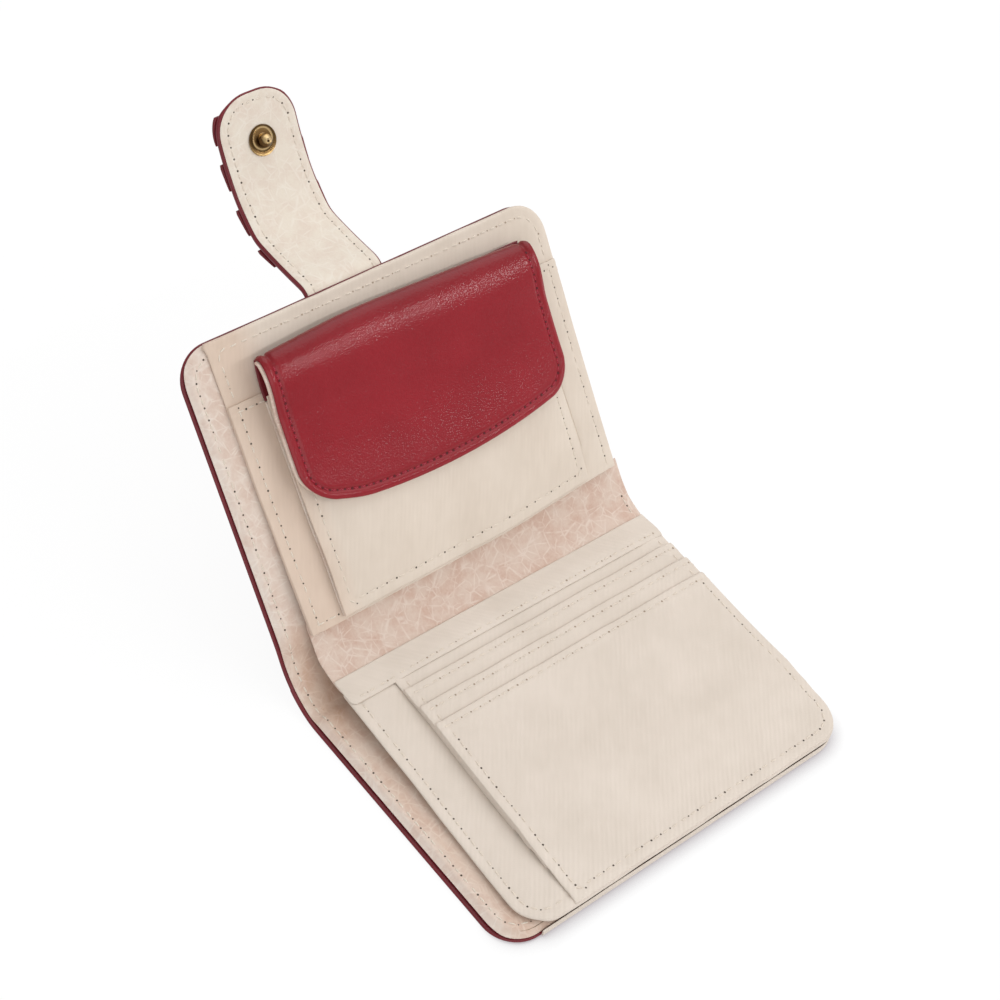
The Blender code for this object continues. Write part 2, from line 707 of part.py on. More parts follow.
def flap_section(y):
    """Points along the flap's middle line at y, from the hinge to the lower edge, with normals."""
    section = []
    fold_steps = 6
    middle = FLAP_THICKNESS / 2
    for step in range(fold_steps + 1):
        angle = math.radians(-8.0) + math.radians(98.0) * step / fold_steps
        away = Vector((math.cos(angle), math.sin(angle)))
        section.append((Vector((FLAP_FOLD_U, FLAP_FOLD_H)) + away * FLAP_FOLD_RADIUS, away))
    end = flap_end(y)
    over = POUCH_MOUTH + FLAP_FOLD_RADIUS
    for share in (0.0, 0.2, 0.4, 0.6, 0.8, 1.0):
        u = over + (end - over) * share
        section.append((Vector((u, flap_under(u, y) + middle)), Vector((0.0, 1.0))))
    return section


def flap(pivot, looks):
    """Red flap: leather outside and lining inside, from the fold at its top to the curved edge."""
    place = (FLAP_PIVOT_U, 0.0, -FLAP_PIVOT_H)
    middle = FLAP_THICKNESS / 2
    leather_low = FLAP_LINING + FLAP_LAY_GAP - middle
    for name, material, low, high in (
        ("flap_leather", looks["leather"], leather_low, middle),
        ("flap_lining", looks["lining"], -middle, FLAP_LINING - middle),
    ):
        low_rows = []
        high_rows = []
        for y in flap_columns():
            section = flap_section(y)
            low_rows.append([Vector((-(p + n * low)[0], y, (p + n * low)[1])) for p, n in section])
            high_rows.append([Vector((-(p + n * high)[0], y, (p + n * high)[1])) for p, n in section])
        item = finish_object(name, slab(low_rows, high_rows), material, pivot, place)
        if name == "flap_leather":
            magnet_recess(item, pivot, place, looks)


def magnet_recess(item, pivot, place, looks):
    """The flap's magnet lies in a skived recess on the inner side of the leather."""
    under = flap_under(MAGNET_U, POUCH_CENTRE) + FLAP_LINING
    lower = flap_under(MAGNET_U - MAGNET_RADIUS, POUCH_CENTRE)
    drop = lower - flap_under(MAGNET_U + MAGNET_RADIUS, POUCH_CENTRE)
    slope = -math.atan(drop / (2.0 * MAGNET_RADIUS))
    seat = (place[0] - MAGNET_U, POUCH_CENTRE, place[2] + under)
    top = FLAP_LAY_GAP * 2 + MAGNET_THICKNESS
    wide = MAGNET_RADIUS + SEAT_GAP
    hollow = ((0.0, -LINING / 4), (wide, -LINING / 4), (wide, top), (0.0, top))
    tool = finish_object("magnet_recess_cutter", turned_solid(hollow), looks["steel"], pivot, seat, slope)
    cut(item, tool)
    low = FLAP_LAY_GAP
    high = low + MAGNET_THICKNESS
    disc = ((0.0, low), (MAGNET_RADIUS, low), (MAGNET_RADIUS, high), (0.0, high))
    finish_object("flap_magnet", turned_solid(disc), looks["steel"], pivot, seat, slope)


def arc_point(s, length, bend, offset=0.0):
    """A point s along a link's arc, moved by offset towards the lining side, and its angle."""
    angle = bend * s / length
    radius = length / bend
    x = -radius * math.sin(angle) + offset * math.sin(angle)
    z = radius * (1.0 - math.cos(angle)) + offset * math.cos(angle)
    return Vector((x, 0.0, z)), angle


def strap_places(name, start, length):
    """Stations along a link; the tip link ends in a round nose."""
    if name != "tip":
        return spread(start, length - STRAP_THICKNESS / 2 - KNUCKLE_GAP, 6)
    radius = STRAP_WIDTH / 2
    straight = spread(start, length - radius, 5)
    nose = [math.radians(angle) for angle in (15, 30, 45, 58, 70, 79, 86)]
    return straight + [length - radius + radius * math.sin(angle) for angle in nose]


def strap_layer(link, start, length, bend, low, high, bead=0.0):
    """One layer of a link, bent to its arc; a bead rounds its start about the bend's axis."""
    half = STRAP_WIDTH / 2
    low_rows = []
    high_rows = []
    for angle in (15.0, 40.0, 65.0, 90.0, 115.0) if bead else ():
        x = bead * math.cos(math.radians(angle))
        z = bead * math.sin(math.radians(angle))
        row_y = spread(STRAP_CENTRE - half, STRAP_CENTRE + half, 2)
        low_rows.append([Vector((x, y, -z)) for y in row_y])
        high_rows.append([Vector((x, y, z)) for y in row_y])
    for s in strap_places(link, start, length):
        inset = corner_inset(s, length, half) if link == "tip" else 0.0
        row_y = spread(STRAP_CENTRE - half + inset, STRAP_CENTRE + half - inset, 2)
        inner = arc_point(s, length, bend, low)[0]
        outer = arc_point(s, length, bend, high)[0]
        low_rows.append([Vector((inner.x, y, inner.z)) for y in row_y])
        high_rows.append([Vector((outer.x, y, outer.z)) for y in row_y])
    return slab(low_rows, high_rows)


def strap_band(index, link, end, length, bend, pivot, looks):
    """A raised wedge of leather across the strap's outer side, thick towards the tip.

    Near the strap's round nose the wedge follows the outline.
    """
    top = -STRAP_THICKNESS / 2 - LAY_GAP
    low_rows = []
    high_rows = []
    for share in spread(0.0, 1.0, 3):
        s = end - BAND_LENGTH * (1.0 - share)
        inset = corner_inset(s, length, STRAP_WIDTH / 2) if link == "tip" else 0.0
        half = STRAP_WIDTH / 2 + BAND_PROUD - inset
        thick = BAND_THIN + (BAND_THICK - BAND_THIN) * share
        inner = arc_point(s, length, bend, top - thick)[0]
        outer = arc_point(s, length, bend, top)[0]
        low_rows.append([Vector((inner.x, y, inner.z)) for y in (STRAP_CENTRE - half, STRAP_CENTRE + half)])
        high_rows.append([Vector((outer.x, y, outer.z)) for y in (STRAP_CENTRE - half, STRAP_CENTRE + half)])
    finish_object(f"strap_band_{index}", slab(low_rows, high_rows), looks["leather"], pivot)


def strap(coin_pivot, looks):
    """Strap of three bending links from the far edge of the coin half, with bands and stud."""
    parent = coin_pivot
    location = (-STRAP_PIVOT_U, 0.0, STRAP_PIVOT_H - AXIS_HEIGHT)
    tilt = STRAP_ROOT_TILT
    middle = STRAP_THICKNESS / 2
    for link, length, bend, kink in STRAP_LINKS:
        pivot = make_pivot(f"strap_{link}_pivot", location, tilt + kink, parent)
        leather_top = STRAP_LEATHER - middle
        start = middle * 1.15
        bm = strap_layer(link, start, length, bend, -middle, leather_top, bead=middle)
        leather = finish_object(f"strap_{link}_leather", bm, looks["leather"], pivot)
        bm = strap_layer(link, start, length, bend, leather_top + STRAP_LAY_GAP, middle)
        lining = finish_object(f"strap_{link}_lining", bm, looks["lining"], pivot)
        for index, (band_link, end) in enumerate(BAND_ENDS):
            if band_link == link:
                strap_band(len(BAND_ENDS) - index, link, end, length, bend, pivot, looks)
        if link == "tip":
            snap_stud(pivot, leather, lining, length, bend, looks)
        location, tilt = arc_point(length, length, bend)
        parent = pivot


def snap_stud(pivot, leather, lining, length, bend, looks):
    """Ball stud on the lining and the rivet between lining and leather that holds it."""
    s = length - STUD_FROM_TIP
    middle = STRAP_THICKNESS / 2
    base, angle = arc_point(s, length, bend, 0.0)
    seat = (base.x, STRAP_CENTRE, base.z)
    low = middle + LAY_GAP
    bore = RIVET_POST + LAY_GAP
    neck = STUD_BALL_RADIUS * 0.75
    top = low + STUD_HEIGHT
    ball = top - STUD_BALL_RADIUS
    profile = (
        (bore, low),
        (STUD_RADIUS - LAY_GAP, low),
        (STUD_RADIUS, low + STUD_FLANGE / 2),
        (STUD_RADIUS - LAY_GAP, low + STUD_FLANGE),
        (STUD_RADIUS * 0.72, low + STUD_FLANGE * 0.7),
        (neck * 1.25, low + STUD_FLANGE * 0.9),
        (neck, ball - STUD_BALL_RADIUS * 0.45),
        (STUD_BALL_RADIUS, ball + STUD_BALL_RADIUS * 0.1),
        (STUD_BALL_RADIUS * 0.86, ball + STUD_BALL_RADIUS * 0.55),
        (STUD_BALL_RADIUS * 0.45, top),
        (bore * 0.3, top - LAY_GAP),
        (bore * 0.3, low + STUD_HEIGHT * 0.7),
        (bore, low + STUD_HEIGHT * 0.6),
    )
    finish_object("snap_stud", turned(profile), looks["brass"], pivot, seat, angle)
    seat_low = STRAP_LEATHER - middle
    under = seat_low - RIVET_FLANGE
    wide = RIVET_RADIUS + SEAT_GAP
    hollow = ((0.0, under - LAY_GAP), (wide, under - LAY_GAP), (wide, middle), (0.0, middle))
    tool = finish_object("rivet_recess_cutter", turned_solid(hollow), looks["steel"], pivot, seat, angle)
    cut(leather, tool)
    hole = RIVET_POST + SEAT_GAP
    through = ((0.0, 0.0), (hole, 0.0), (hole, middle * 2), (0.0, middle * 2))
    tool = finish_object("rivet_hole_cutter", turned_solid(through), looks["steel"], pivot, seat, angle)
    cut(lining, tool)
    post_top = low + STUD_HEIGHT * 0.45
    profile = (
        (0.0, under),
        (RIVET_RADIUS, under),
        (RIVET_RADIUS, under + RIVET_FLANGE),
        (RIVET_POST, under + RIVET_FLANGE),
        (RIVET_POST, post_top),
        (0.0, post_top),
    )
    finish_object("snap_rivet", turned_solid(profile), looks["brass"], pivot, seat, angle)


def build():
    clear_scene()
    looks = {
        "leather": make_material("red_leather", (0.26, 0.022, 0.032), 0.42),
        "lining": make_material("patterned_lining", (0.72, 0.58, 0.50), 0.9),
        "weave": make_material("beige_weave", (0.72, 0.63, 0.53), 0.88),
        "board": make_material("grey_board", (0.35, 0.33, 0.30), 0.9),
        "card": make_material("light_card", (0.55, 0.50, 0.42), 0.9),
        "brass": make_material("antique_brass", (0.28, 0.19, 0.08), 0.35, 1.0),
        "steel": make_material("magnet_steel", (0.45, 0.45, 0.46), 0.4, 0.9),
    }
    root = make_pivot("card_half_frame", (ORIGIN_TO_EDGE - COVER_LENGTH, 0.0, 0.0))
    card_half(root, looks)
    spine_pivot = make_pivot("card_fold_pivot", (0.0, 0.0, AXIS_HEIGHT), SPINE_TILT, root)
    spine(spine_pivot, looks)
    inner_strip(spine_pivot, looks)
    coin_pivot = make_pivot("coin_fold_pivot", (-SPINE_WIDTH, 0.0, 0.0), COIN_TILT, spine_pivot)
    coin_half(coin_pivot, looks)
    flap_pivot = make_pivot(
        "flap_pivot", (-FLAP_PIVOT_U, 0.0, FLAP_PIVOT_H - AXIS_HEIGHT), 0.0, coin_pivot
    )
    flap(flap_pivot, looks)
    strap(coin_pivot, looks)


build()
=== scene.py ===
import json
import math
from functools import partial

import bmesh
import bpy
import numpy as np
from mathutils import Matrix, Vector
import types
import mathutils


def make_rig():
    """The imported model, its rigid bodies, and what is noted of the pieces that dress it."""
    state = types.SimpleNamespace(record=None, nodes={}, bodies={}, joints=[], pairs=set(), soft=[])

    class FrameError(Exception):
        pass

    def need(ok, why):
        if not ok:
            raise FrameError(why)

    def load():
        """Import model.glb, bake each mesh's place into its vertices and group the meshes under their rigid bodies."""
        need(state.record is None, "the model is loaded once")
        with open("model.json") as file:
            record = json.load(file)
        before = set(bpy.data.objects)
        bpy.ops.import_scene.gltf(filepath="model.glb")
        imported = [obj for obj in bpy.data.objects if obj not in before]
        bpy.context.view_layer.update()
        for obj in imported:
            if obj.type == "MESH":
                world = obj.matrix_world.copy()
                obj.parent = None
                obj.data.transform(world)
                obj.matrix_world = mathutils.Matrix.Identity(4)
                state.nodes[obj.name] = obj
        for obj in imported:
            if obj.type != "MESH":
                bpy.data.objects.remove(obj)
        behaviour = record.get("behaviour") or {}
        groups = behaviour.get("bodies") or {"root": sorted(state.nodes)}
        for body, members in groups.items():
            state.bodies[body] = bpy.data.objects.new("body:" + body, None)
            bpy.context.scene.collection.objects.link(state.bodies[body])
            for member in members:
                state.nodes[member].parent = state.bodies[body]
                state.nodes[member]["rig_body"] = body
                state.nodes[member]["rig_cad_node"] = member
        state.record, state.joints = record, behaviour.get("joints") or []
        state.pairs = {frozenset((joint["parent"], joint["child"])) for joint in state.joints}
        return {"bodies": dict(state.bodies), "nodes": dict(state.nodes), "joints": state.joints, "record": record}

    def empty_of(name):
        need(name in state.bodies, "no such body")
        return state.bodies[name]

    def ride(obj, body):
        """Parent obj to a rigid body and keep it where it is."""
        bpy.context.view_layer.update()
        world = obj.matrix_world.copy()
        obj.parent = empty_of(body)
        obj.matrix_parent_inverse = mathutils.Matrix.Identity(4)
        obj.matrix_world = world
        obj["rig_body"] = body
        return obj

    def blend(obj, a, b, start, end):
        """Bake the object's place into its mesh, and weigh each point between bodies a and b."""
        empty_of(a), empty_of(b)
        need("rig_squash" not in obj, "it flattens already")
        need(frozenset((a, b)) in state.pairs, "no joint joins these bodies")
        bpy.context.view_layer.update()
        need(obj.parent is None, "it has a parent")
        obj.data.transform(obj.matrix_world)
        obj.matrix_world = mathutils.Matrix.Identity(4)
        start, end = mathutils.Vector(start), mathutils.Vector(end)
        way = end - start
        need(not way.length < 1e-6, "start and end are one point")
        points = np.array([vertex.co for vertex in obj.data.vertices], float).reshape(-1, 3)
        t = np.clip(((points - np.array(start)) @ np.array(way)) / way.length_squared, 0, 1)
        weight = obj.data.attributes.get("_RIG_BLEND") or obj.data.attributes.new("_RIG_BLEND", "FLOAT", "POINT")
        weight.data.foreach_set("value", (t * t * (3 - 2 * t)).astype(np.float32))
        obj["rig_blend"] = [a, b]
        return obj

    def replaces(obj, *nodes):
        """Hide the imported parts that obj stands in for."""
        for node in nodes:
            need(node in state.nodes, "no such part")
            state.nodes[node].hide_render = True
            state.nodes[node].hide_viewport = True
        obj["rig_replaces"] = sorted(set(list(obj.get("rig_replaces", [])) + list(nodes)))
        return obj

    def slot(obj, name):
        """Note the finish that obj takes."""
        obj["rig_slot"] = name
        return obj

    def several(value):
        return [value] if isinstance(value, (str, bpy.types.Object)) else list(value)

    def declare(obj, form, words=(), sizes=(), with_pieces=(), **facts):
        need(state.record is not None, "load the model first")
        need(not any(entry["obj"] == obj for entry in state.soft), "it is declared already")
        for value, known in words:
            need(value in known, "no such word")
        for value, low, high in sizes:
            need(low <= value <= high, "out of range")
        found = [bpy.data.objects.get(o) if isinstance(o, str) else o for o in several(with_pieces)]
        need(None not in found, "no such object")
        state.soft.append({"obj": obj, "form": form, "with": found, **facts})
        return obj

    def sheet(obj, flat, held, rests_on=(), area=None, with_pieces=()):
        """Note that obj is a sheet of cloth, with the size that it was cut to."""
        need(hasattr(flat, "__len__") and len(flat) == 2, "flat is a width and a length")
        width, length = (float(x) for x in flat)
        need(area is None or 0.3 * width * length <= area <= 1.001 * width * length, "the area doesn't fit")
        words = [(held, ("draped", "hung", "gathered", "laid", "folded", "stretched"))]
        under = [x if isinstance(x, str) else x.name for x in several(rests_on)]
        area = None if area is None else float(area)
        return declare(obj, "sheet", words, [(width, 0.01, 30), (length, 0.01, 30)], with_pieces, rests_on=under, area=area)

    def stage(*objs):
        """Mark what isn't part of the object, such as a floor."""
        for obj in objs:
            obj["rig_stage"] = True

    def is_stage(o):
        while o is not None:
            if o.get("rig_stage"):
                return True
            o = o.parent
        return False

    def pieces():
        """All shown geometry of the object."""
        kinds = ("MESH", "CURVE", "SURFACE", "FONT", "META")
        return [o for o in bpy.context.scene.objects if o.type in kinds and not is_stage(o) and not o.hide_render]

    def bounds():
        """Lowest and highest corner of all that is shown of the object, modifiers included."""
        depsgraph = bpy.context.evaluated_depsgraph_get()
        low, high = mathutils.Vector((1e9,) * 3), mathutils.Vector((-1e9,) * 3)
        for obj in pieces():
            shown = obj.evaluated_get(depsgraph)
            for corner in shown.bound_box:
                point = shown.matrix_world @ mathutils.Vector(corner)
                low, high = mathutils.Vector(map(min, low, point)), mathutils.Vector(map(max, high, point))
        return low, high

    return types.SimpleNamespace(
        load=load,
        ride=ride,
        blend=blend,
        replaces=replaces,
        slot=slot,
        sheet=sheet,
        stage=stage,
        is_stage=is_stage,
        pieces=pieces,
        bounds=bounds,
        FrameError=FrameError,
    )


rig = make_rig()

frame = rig.load()
cad_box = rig.bounds()

# Lengths are in millimetres in the part's frame, and each mesh is scaled to metres when it is made
MM = 0.001
# The cover: fold line, length and half width, the turn and bow of the fold, and where the coin half starts
FOLD_X = -42.0
LENGTH, CARD_LENGTH, CARD_END = 82.0, 81.2, 81.1
HALF = 59.0
CORNER = 10.0
AXIS = 0.45
SPINE_TILT, COIN_TILT = math.radians(37.1), math.radians(49.3)
SPINE, BOW = 20.4, 2.2
COIN_X, COIN_Z = -58.271, 12.755
SECTION_REACH = 92.0
CARD_LINING, COIN_LINING, LINING_START = 2.8, 2.2, 1.05
COVER_SEAM, SEAM = 3.5, 2.8
# Where the fold starts and finishes along the cover, for the looks
FOLD_START, FOLD_FINISH = -1.0, 21.0
# The inner panels and the card slots
PANEL_LEFT, PANEL_RIGHT = -50.2, 58.8
PANEL_WIDTH = PANEL_RIGHT - PANEL_LEFT
PANEL_START, PANEL_END = 1.2, 81.8
COIN_END = PANEL_END - 0.4
PANEL_CORNER = 9.0
CARD_GAPE, COIN_GAPE = 3.6, 1.8
SLOT_LEFT = -37.7
SLOT_STARTS = (2.5, 9.0, 15.5, 22.0)
SLOT_DEPTH = 54.0
SLIP_TOP = 64.6
MOUTH_SEAM = 2.0
# The pouch and its flap
POUCH_LEFT, POUCH_RIGHT = -40.1, 46.9
POUCH_CENTRE = (POUCH_LEFT + POUCH_RIGHT) / 2
POUCH_HALF = (POUCH_RIGHT - POUCH_LEFT) / 2
POUCH_FOOT, POUCH_MOUTH, POUCH_SEAM = 2.4, 64.0, 3.0
PIVOT_U, PIVOT_H = 75.0, 7.6
FOLD_U, FOLD_H, FOLD_R = 72.9, 8.9, 2.2
FLAP_HALF = POUCH_HALF + 0.6
FLAP_CORNER, FLAP_SEAM = 8.0, 2.7
FLAP_BACK, FLAP_TURN = math.radians(8.0), math.radians(66.0)
FLAP_U = FOLD_U + FOLD_R * math.cos(FLAP_TURN)
FLAP_ARC = (FLAP_TURN + FLAP_BACK) * FOLD_R
FLAP_LOW = 57.0
# The strap, with the places along it of its joints, its rounded end and its snap
STRAP_CENTRE, STRAP_HALF = -4.5, 12.25
STRAP_SIDES = STRAP_CENTRE - STRAP_HALF, STRAP_CENTRE + STRAP_HALF
STRAP_X0, STRAP_Z0 = -113.37, 74.974
STRAP_LENGTH = 59.9
STRAP_MID, STRAP_TIP = 21.5, 32.75
LINING_FOOT = -6.0
NOSE, NOSE_RADIUS = STRAP_LENGTH - 1.1, 10.4
BAND = 6.5
STUD_S, SOCKET_U = 45.7, 61.95
PITCH, THREAD, FINE_THREAD = 3.25, 0.21, 0.19


def smooth(t):
    t = np.clip(t, 0.0, 1.0)
    return t * t * (3.0 - 2.0 * t)


def ramp(value, start, length):
    return np.clip((value - start) / length, 0.0, 1.0)


def rise(value, start, length):
    """A smooth step from 0 at the start to 1 after its length."""
    return smooth((value - start) / length)


def fade(value, start, length):
    return 1.0 - rise(value, start, length)


def level(height):
    """A height that is the same all over."""
    return lambda a, b: height + 0.0 * a


def ripple(a, b, size, seed):
    """Gentle uneven waves over a surface, about 1 high at most."""
    rng = np.random.default_rng(seed)
    total = np.zeros(np.broadcast(a, b).shape)
    for _ in range(5):
        turn, shift, stretch = rng.uniform(0.0, math.pi), rng.uniform(0.0, 6.28), rng.uniform(0.6, 1.6)
        total += np.sin((a * math.cos(turn) + b * math.sin(turn)) * 6.28 / (size * stretch) + shift)
    return total / 5.0


# Looks
WHITE = (1.0, 1.0, 1.0, 1.0)
# One millimetre along a sheet in its flat layer, and the length of one wave of a banded pattern at scale 1
FLAT_UNIT = 0.01
WAVE = 0.314


def rgb(r, g, b):
    """A colour from its screen values, 0 to 255."""
    def linear(v):
        v = v / 255.0
        return v / 12.92 if v <= 0.04045 else ((v + 0.055) / 1.055) ** 2.4
    return (linear(r), linear(g), linear(b), 1.0)


class Nodes:
    """A node tree with short ways to add nodes and links."""

    def __init__(self, owner):
        owner.use_nodes = True
        self.tree = owner.node_tree

    def add(self, kind, inputs=None, **settings):
        node = self.tree.nodes.new("ShaderNode" + kind)
        for key, value in settings.items():
            setattr(node, key, value)
        for key, value in (inputs or {}).items():
            if isinstance(value, bpy.types.NodeSocket):
                self.tree.links.new(value, node.inputs[key])
            else:
                node.inputs[key].default_value = value
        return node

    def maths(self, operation, a, b):
        return self.add("Math", {0: a, 1: b}, operation=operation).outputs[0]

    def times(self, a, b):
        return self.maths("MULTIPLY", a, b)

    def plus(self, a, b):
        return self.maths("ADD", a, b)

    def vector(self, operation, *values):
        node = self.add("VectorMath", dict(enumerate(values)), operation=operation)
        return node.outputs["Value" if operation == "LENGTH" else "Vector"]

    def part(self, where, letter):
        return self.add("SeparateXYZ", {"Vector": where}).outputs[letter]

    def shape(self, value, low, high, to_low=0.0, to_high=1.0):
        inputs = {"Value": value, "From Min": low, "From Max": high, "To Min": to_low, "To Max": to_high}
        return self.add("MapRange", inputs, clamp=True).outputs[0]

    def mix(self, share, a, b, blend="MIX"):
        """Mix two colours, each a socket, a linear colour of four values or a screen colour of three."""
        a, b = (rgb(*c) if isinstance(c, tuple) and len(c) == 3 else c for c in (a, b))
        return self.add("Mix", {0: share, 6: a, 7: b}, data_type="RGBA", blend_type=blend).outputs[2]

    def noise(self, where, scale, detail=3.0, rough=0.5):
        inputs = {"Vector": where, "Scale": scale, "Detail": detail, "Roughness": rough}
        return self.add("TexNoise", inputs).outputs["Fac"]

    def wave(self, where, pitch, waver, direction="X", fineness=1.0):
        inputs = {"Vector": where, "Scale": WAVE / pitch, "Distortion": waver, "Detail Scale": fineness}
        return self.add("TexWave", inputs, wave_type="BANDS", bands_direction=direction).outputs["Fac"]


class Look(Nodes):
    """The nodes of a material."""

    def __init__(self, name, **inputs):
        self.material = bpy.data.materials.new(name)
        super().__init__(self.material)
        self.shader = self.tree.nodes["Principled BSDF"]
        for key, value in inputs.items():
            self.shader.inputs[key.replace("_", " ").title().replace("Ior", "IOR")].default_value = value

    def flat(self, turn=0.0, stretch=(1.0, 1.0)):
        """Millimetres along the cloth, turned and stretched."""
        place = self.add("UVMap", uv_map="flat").outputs[0]
        turned = self.add("Mapping", {"Vector": place, "Rotation": (0.0, 0.0, turn)}).outputs[0]
        return self.vector("MULTIPLY", turned, tuple(size / FLAT_UNIT for size in (*stretch, 1.0)))

    def put(self, name, value):
        self.tree.links.new(value, self.shader.inputs[name])

    def bump(self, height, strength, distance, name="Normal"):
        node = self.add("Bump", {"Height": height, "Strength": strength, "Distance": distance})
        self.put(name, node.outputs[0])


CLOTH = {"roughness": 0.82, "sheen_roughness": 0.5, "specular_ior_level": 0.3}


def weave_look(name, light, dark, turn, warm=None, ribbed=None, relief=0.3, tint=0.45):
    """Embossed weave, with an optional warm painted shade on its left edge; its ribs come up between the two ribbed
    places.
    """
    look = Look(name, sheen_weight=0.1, **CLOTH)
    where, flat = look.flat(turn), look.flat()
    shown = look.shape(look.noise(flat, 0.07, 2.0), 0.42, 0.6)
    if ribbed:
        along = look.shape(look.part(flat, "X"), *ribbed)
        more = look.times(along, look.shape(shown, 0.0, 1.0, 0.55, 1.0))
        shown = look.maths("MAXIMUM", look.times(shown, 0.6), more)
    ribs = look.times(look.wave(where, 1.25, 1.6, "X", 0.4), shown)
    streak = look.noise(look.flat(turn, (1.0, 0.16)), 0.7, 3.0, 0.55)
    cloud = look.noise(flat, 0.05, 3.0, 0.55)
    share = look.plus(look.times(streak, 0.3), look.times(cloud, 0.7))
    share = look.plus(look.shape(share, 0.36, 0.66), look.times(ribs, tint))
    tone = look.mix(look.shape(share, 0.0, 1.25), dark, light)
    # Painted shade: a warm tint multiplied in towards the left edge, where shade falls.
    if warm:
        tone = look.mix(look.shape(look.part(flat, "Y"), -34.0, -42.0), tone, warm, "MULTIPLY")
    look.put("Base Color", tone)
    thread = look.plus(ribs, look.times(look.wave(where, 0.5, 1.5, "Y"), 0.25))
    fine = look.noise(where, 2.2, 3.0, 0.6)
    look.bump(look.plus(look.times(thread, 0.7), look.times(fine, 0.4)), relief, 0.00008)
    return look.material


def lining_look(name, base, pink, line, cell=6.0, contrast=1.0, deep=None):
    """Cloth with pale crossed lines; deep is the tint of the shade in the fold and along the left edge."""
    look = Look(name, sheen_weight=0.12, **CLOTH)
    where = look.flat()
    waver = look.add("TexNoise", {"Vector": where, "Scale": 0.12, "Detail": 2.0}).outputs["Color"]
    bent = look.vector("ADD", where, waver)
    lines = None
    for size, turn, wide in ((cell, 0.3, 0.04), (cell * 1.5, 1.1, 0.028), (cell * 0.7, 2.0, 0.05)):
        moved = {"Vector": bent, "Rotation": (0.0, 0.0, turn), "Location": (turn * 9, 5, 0)}
        spot = look.add("Mapping", moved).outputs[0]
        cells = look.add("TexVoronoi", {"Vector": spot, "Scale": 1.0 / size}, feature="DISTANCE_TO_EDGE")
        one = look.shape(cells.outputs["Distance"], wide * 0.3, wide, 1.0, 0.0)
        one = look.times(one, look.shape(look.noise(spot, 0.35, 2.0), 0.38, 0.6))
        lines = one if lines is None else look.maths("MAXIMUM", lines, one)
    ground = look.mix(look.shape(look.noise(where, 0.16, 3.0, 0.6), 0.42, 0.62), base, pink)
    grain = look.shape(look.noise(where, 1.6, 3.0, 0.6), 0.35, 0.75, 0.0, 0.3)
    tone = look.mix(look.times(lines, 0.7 * contrast), look.mix(grain, ground, line), line)
    if deep:
        # Painted shade: the deep tint darkens the cloth in the fold and along its left edge.
        s, y = look.part(where, "X"), look.part(where, "Y")
        inner = look.times(look.shape(y, -58.0, -54.0), look.shape(s, 32.0, 4.0, 0.25, 1.0))
        starts = look.shape(s, FOLD_START - 14.0, FOLD_START)
        near = look.times(starts, look.shape(s, FOLD_FINISH + 8.0, FOLD_FINISH))
        share = look.plus(look.times(inner, 0.55), look.times(near, 0.35))
        folds = look.noise(look.flat(stretch=(0.35, 1.0)), 0.3, 3.0, 0.6)
        share = look.times(share, look.shape(folds, 0.35, 0.7, 0.75, 1.1))
        tone = look.mix(share, tone, deep, "MULTIPLY")
    look.put("Base Color", tone)
    look.bump(look.plus(look.times(lines, 0.4), look.noise(where, 2.5, 2.0, 0.6)), 0.25, 0.00008)
    return look.material


def leather_look(name, colour, deep, light, roughness, pebble=0.75, strength=0.35, polish=0.0,
                 burnished=None):
    """Grained leather; its last argument is the length along it from which a painted shade darkening its fold has
    faded.
    """
    look = Look(name, specular_ior_level=0.45 - 0.7 * polish, coat_weight=polish, coat_roughness=0.13)
    where = look.flat()
    inputs = {"Vector": where, "Scale": 1.0 / pebble, "Smoothness": 0.6, "Randomness": 0.95}
    cells = look.add("TexVoronoi", inputs, feature="SMOOTH_F1").outputs["Distance"]
    large, small = look.noise(where, 0.05, 4.0, 0.55), look.noise(where, 0.9, 4.0, 0.6)
    tone = look.mix(look.shape(large, 0.35, 0.65), deep, colour)
    tone = look.mix(look.shape(small, 0.45, 0.8, 0.0, 0.35), tone, light)
    tone = look.mix(look.shape(cells, 0.45, 0.75, 0.0, 0.35), tone, deep)
    # Painted shade: the leather is darker near its fold, fading out by that length.
    if burnished:
        share = look.shape(look.part(where, "X"), burnished, burnished - 5.0)
        tone = look.mix(share, tone, (0.72, 0.5, 0.55, 1.0), "MULTIPLY")
    look.put("Base Color", tone)
    patches = look.noise(where, 0.5, 3.0, 0.6)
    look.put("Roughness", look.shape(patches, 0.3, 0.7, roughness - 0.06, roughness + 0.1))
    height = look.plus(look.times(cells, -1.0), look.times(small, 0.6))
    look.bump(height, strength, 0.00012)
    look.bump(height, 1.2 * strength, 0.00012, "Coat Normal")
    return look.material


def thread_look(name, light, dark):
    look = Look(name, roughness=0.7, specular_ior_level=0.3)
    twist = look.wave(look.flat(0.9), 0.35, 0.5)
    look.put("Base Color", look.mix(twist, dark, light))
    look.bump(twist, 0.5, 0.00006)
    return look.material


def plain_look(name, light, dark, roughness, metallic=0.0, scale=400.0):
    """A cloudy look whose pattern lies in the part's own frame."""
    look = Look(name, metallic=metallic)
    place = look.add("TexCoord").outputs["Object"]
    cloud = look.noise(place, scale, 4.0, 0.6)
    look.put("Base Color", look.mix(look.shape(cloud, 0.35, 0.7), dark, light))
    look.put("Roughness", look.shape(cloud, 0.3, 0.7, roughness - 0.08, roughness + 0.12))
    look.bump(look.noise(place, scale * 6.0, 3.0, 0.6), 0.15, 0.00005)
    return look.material


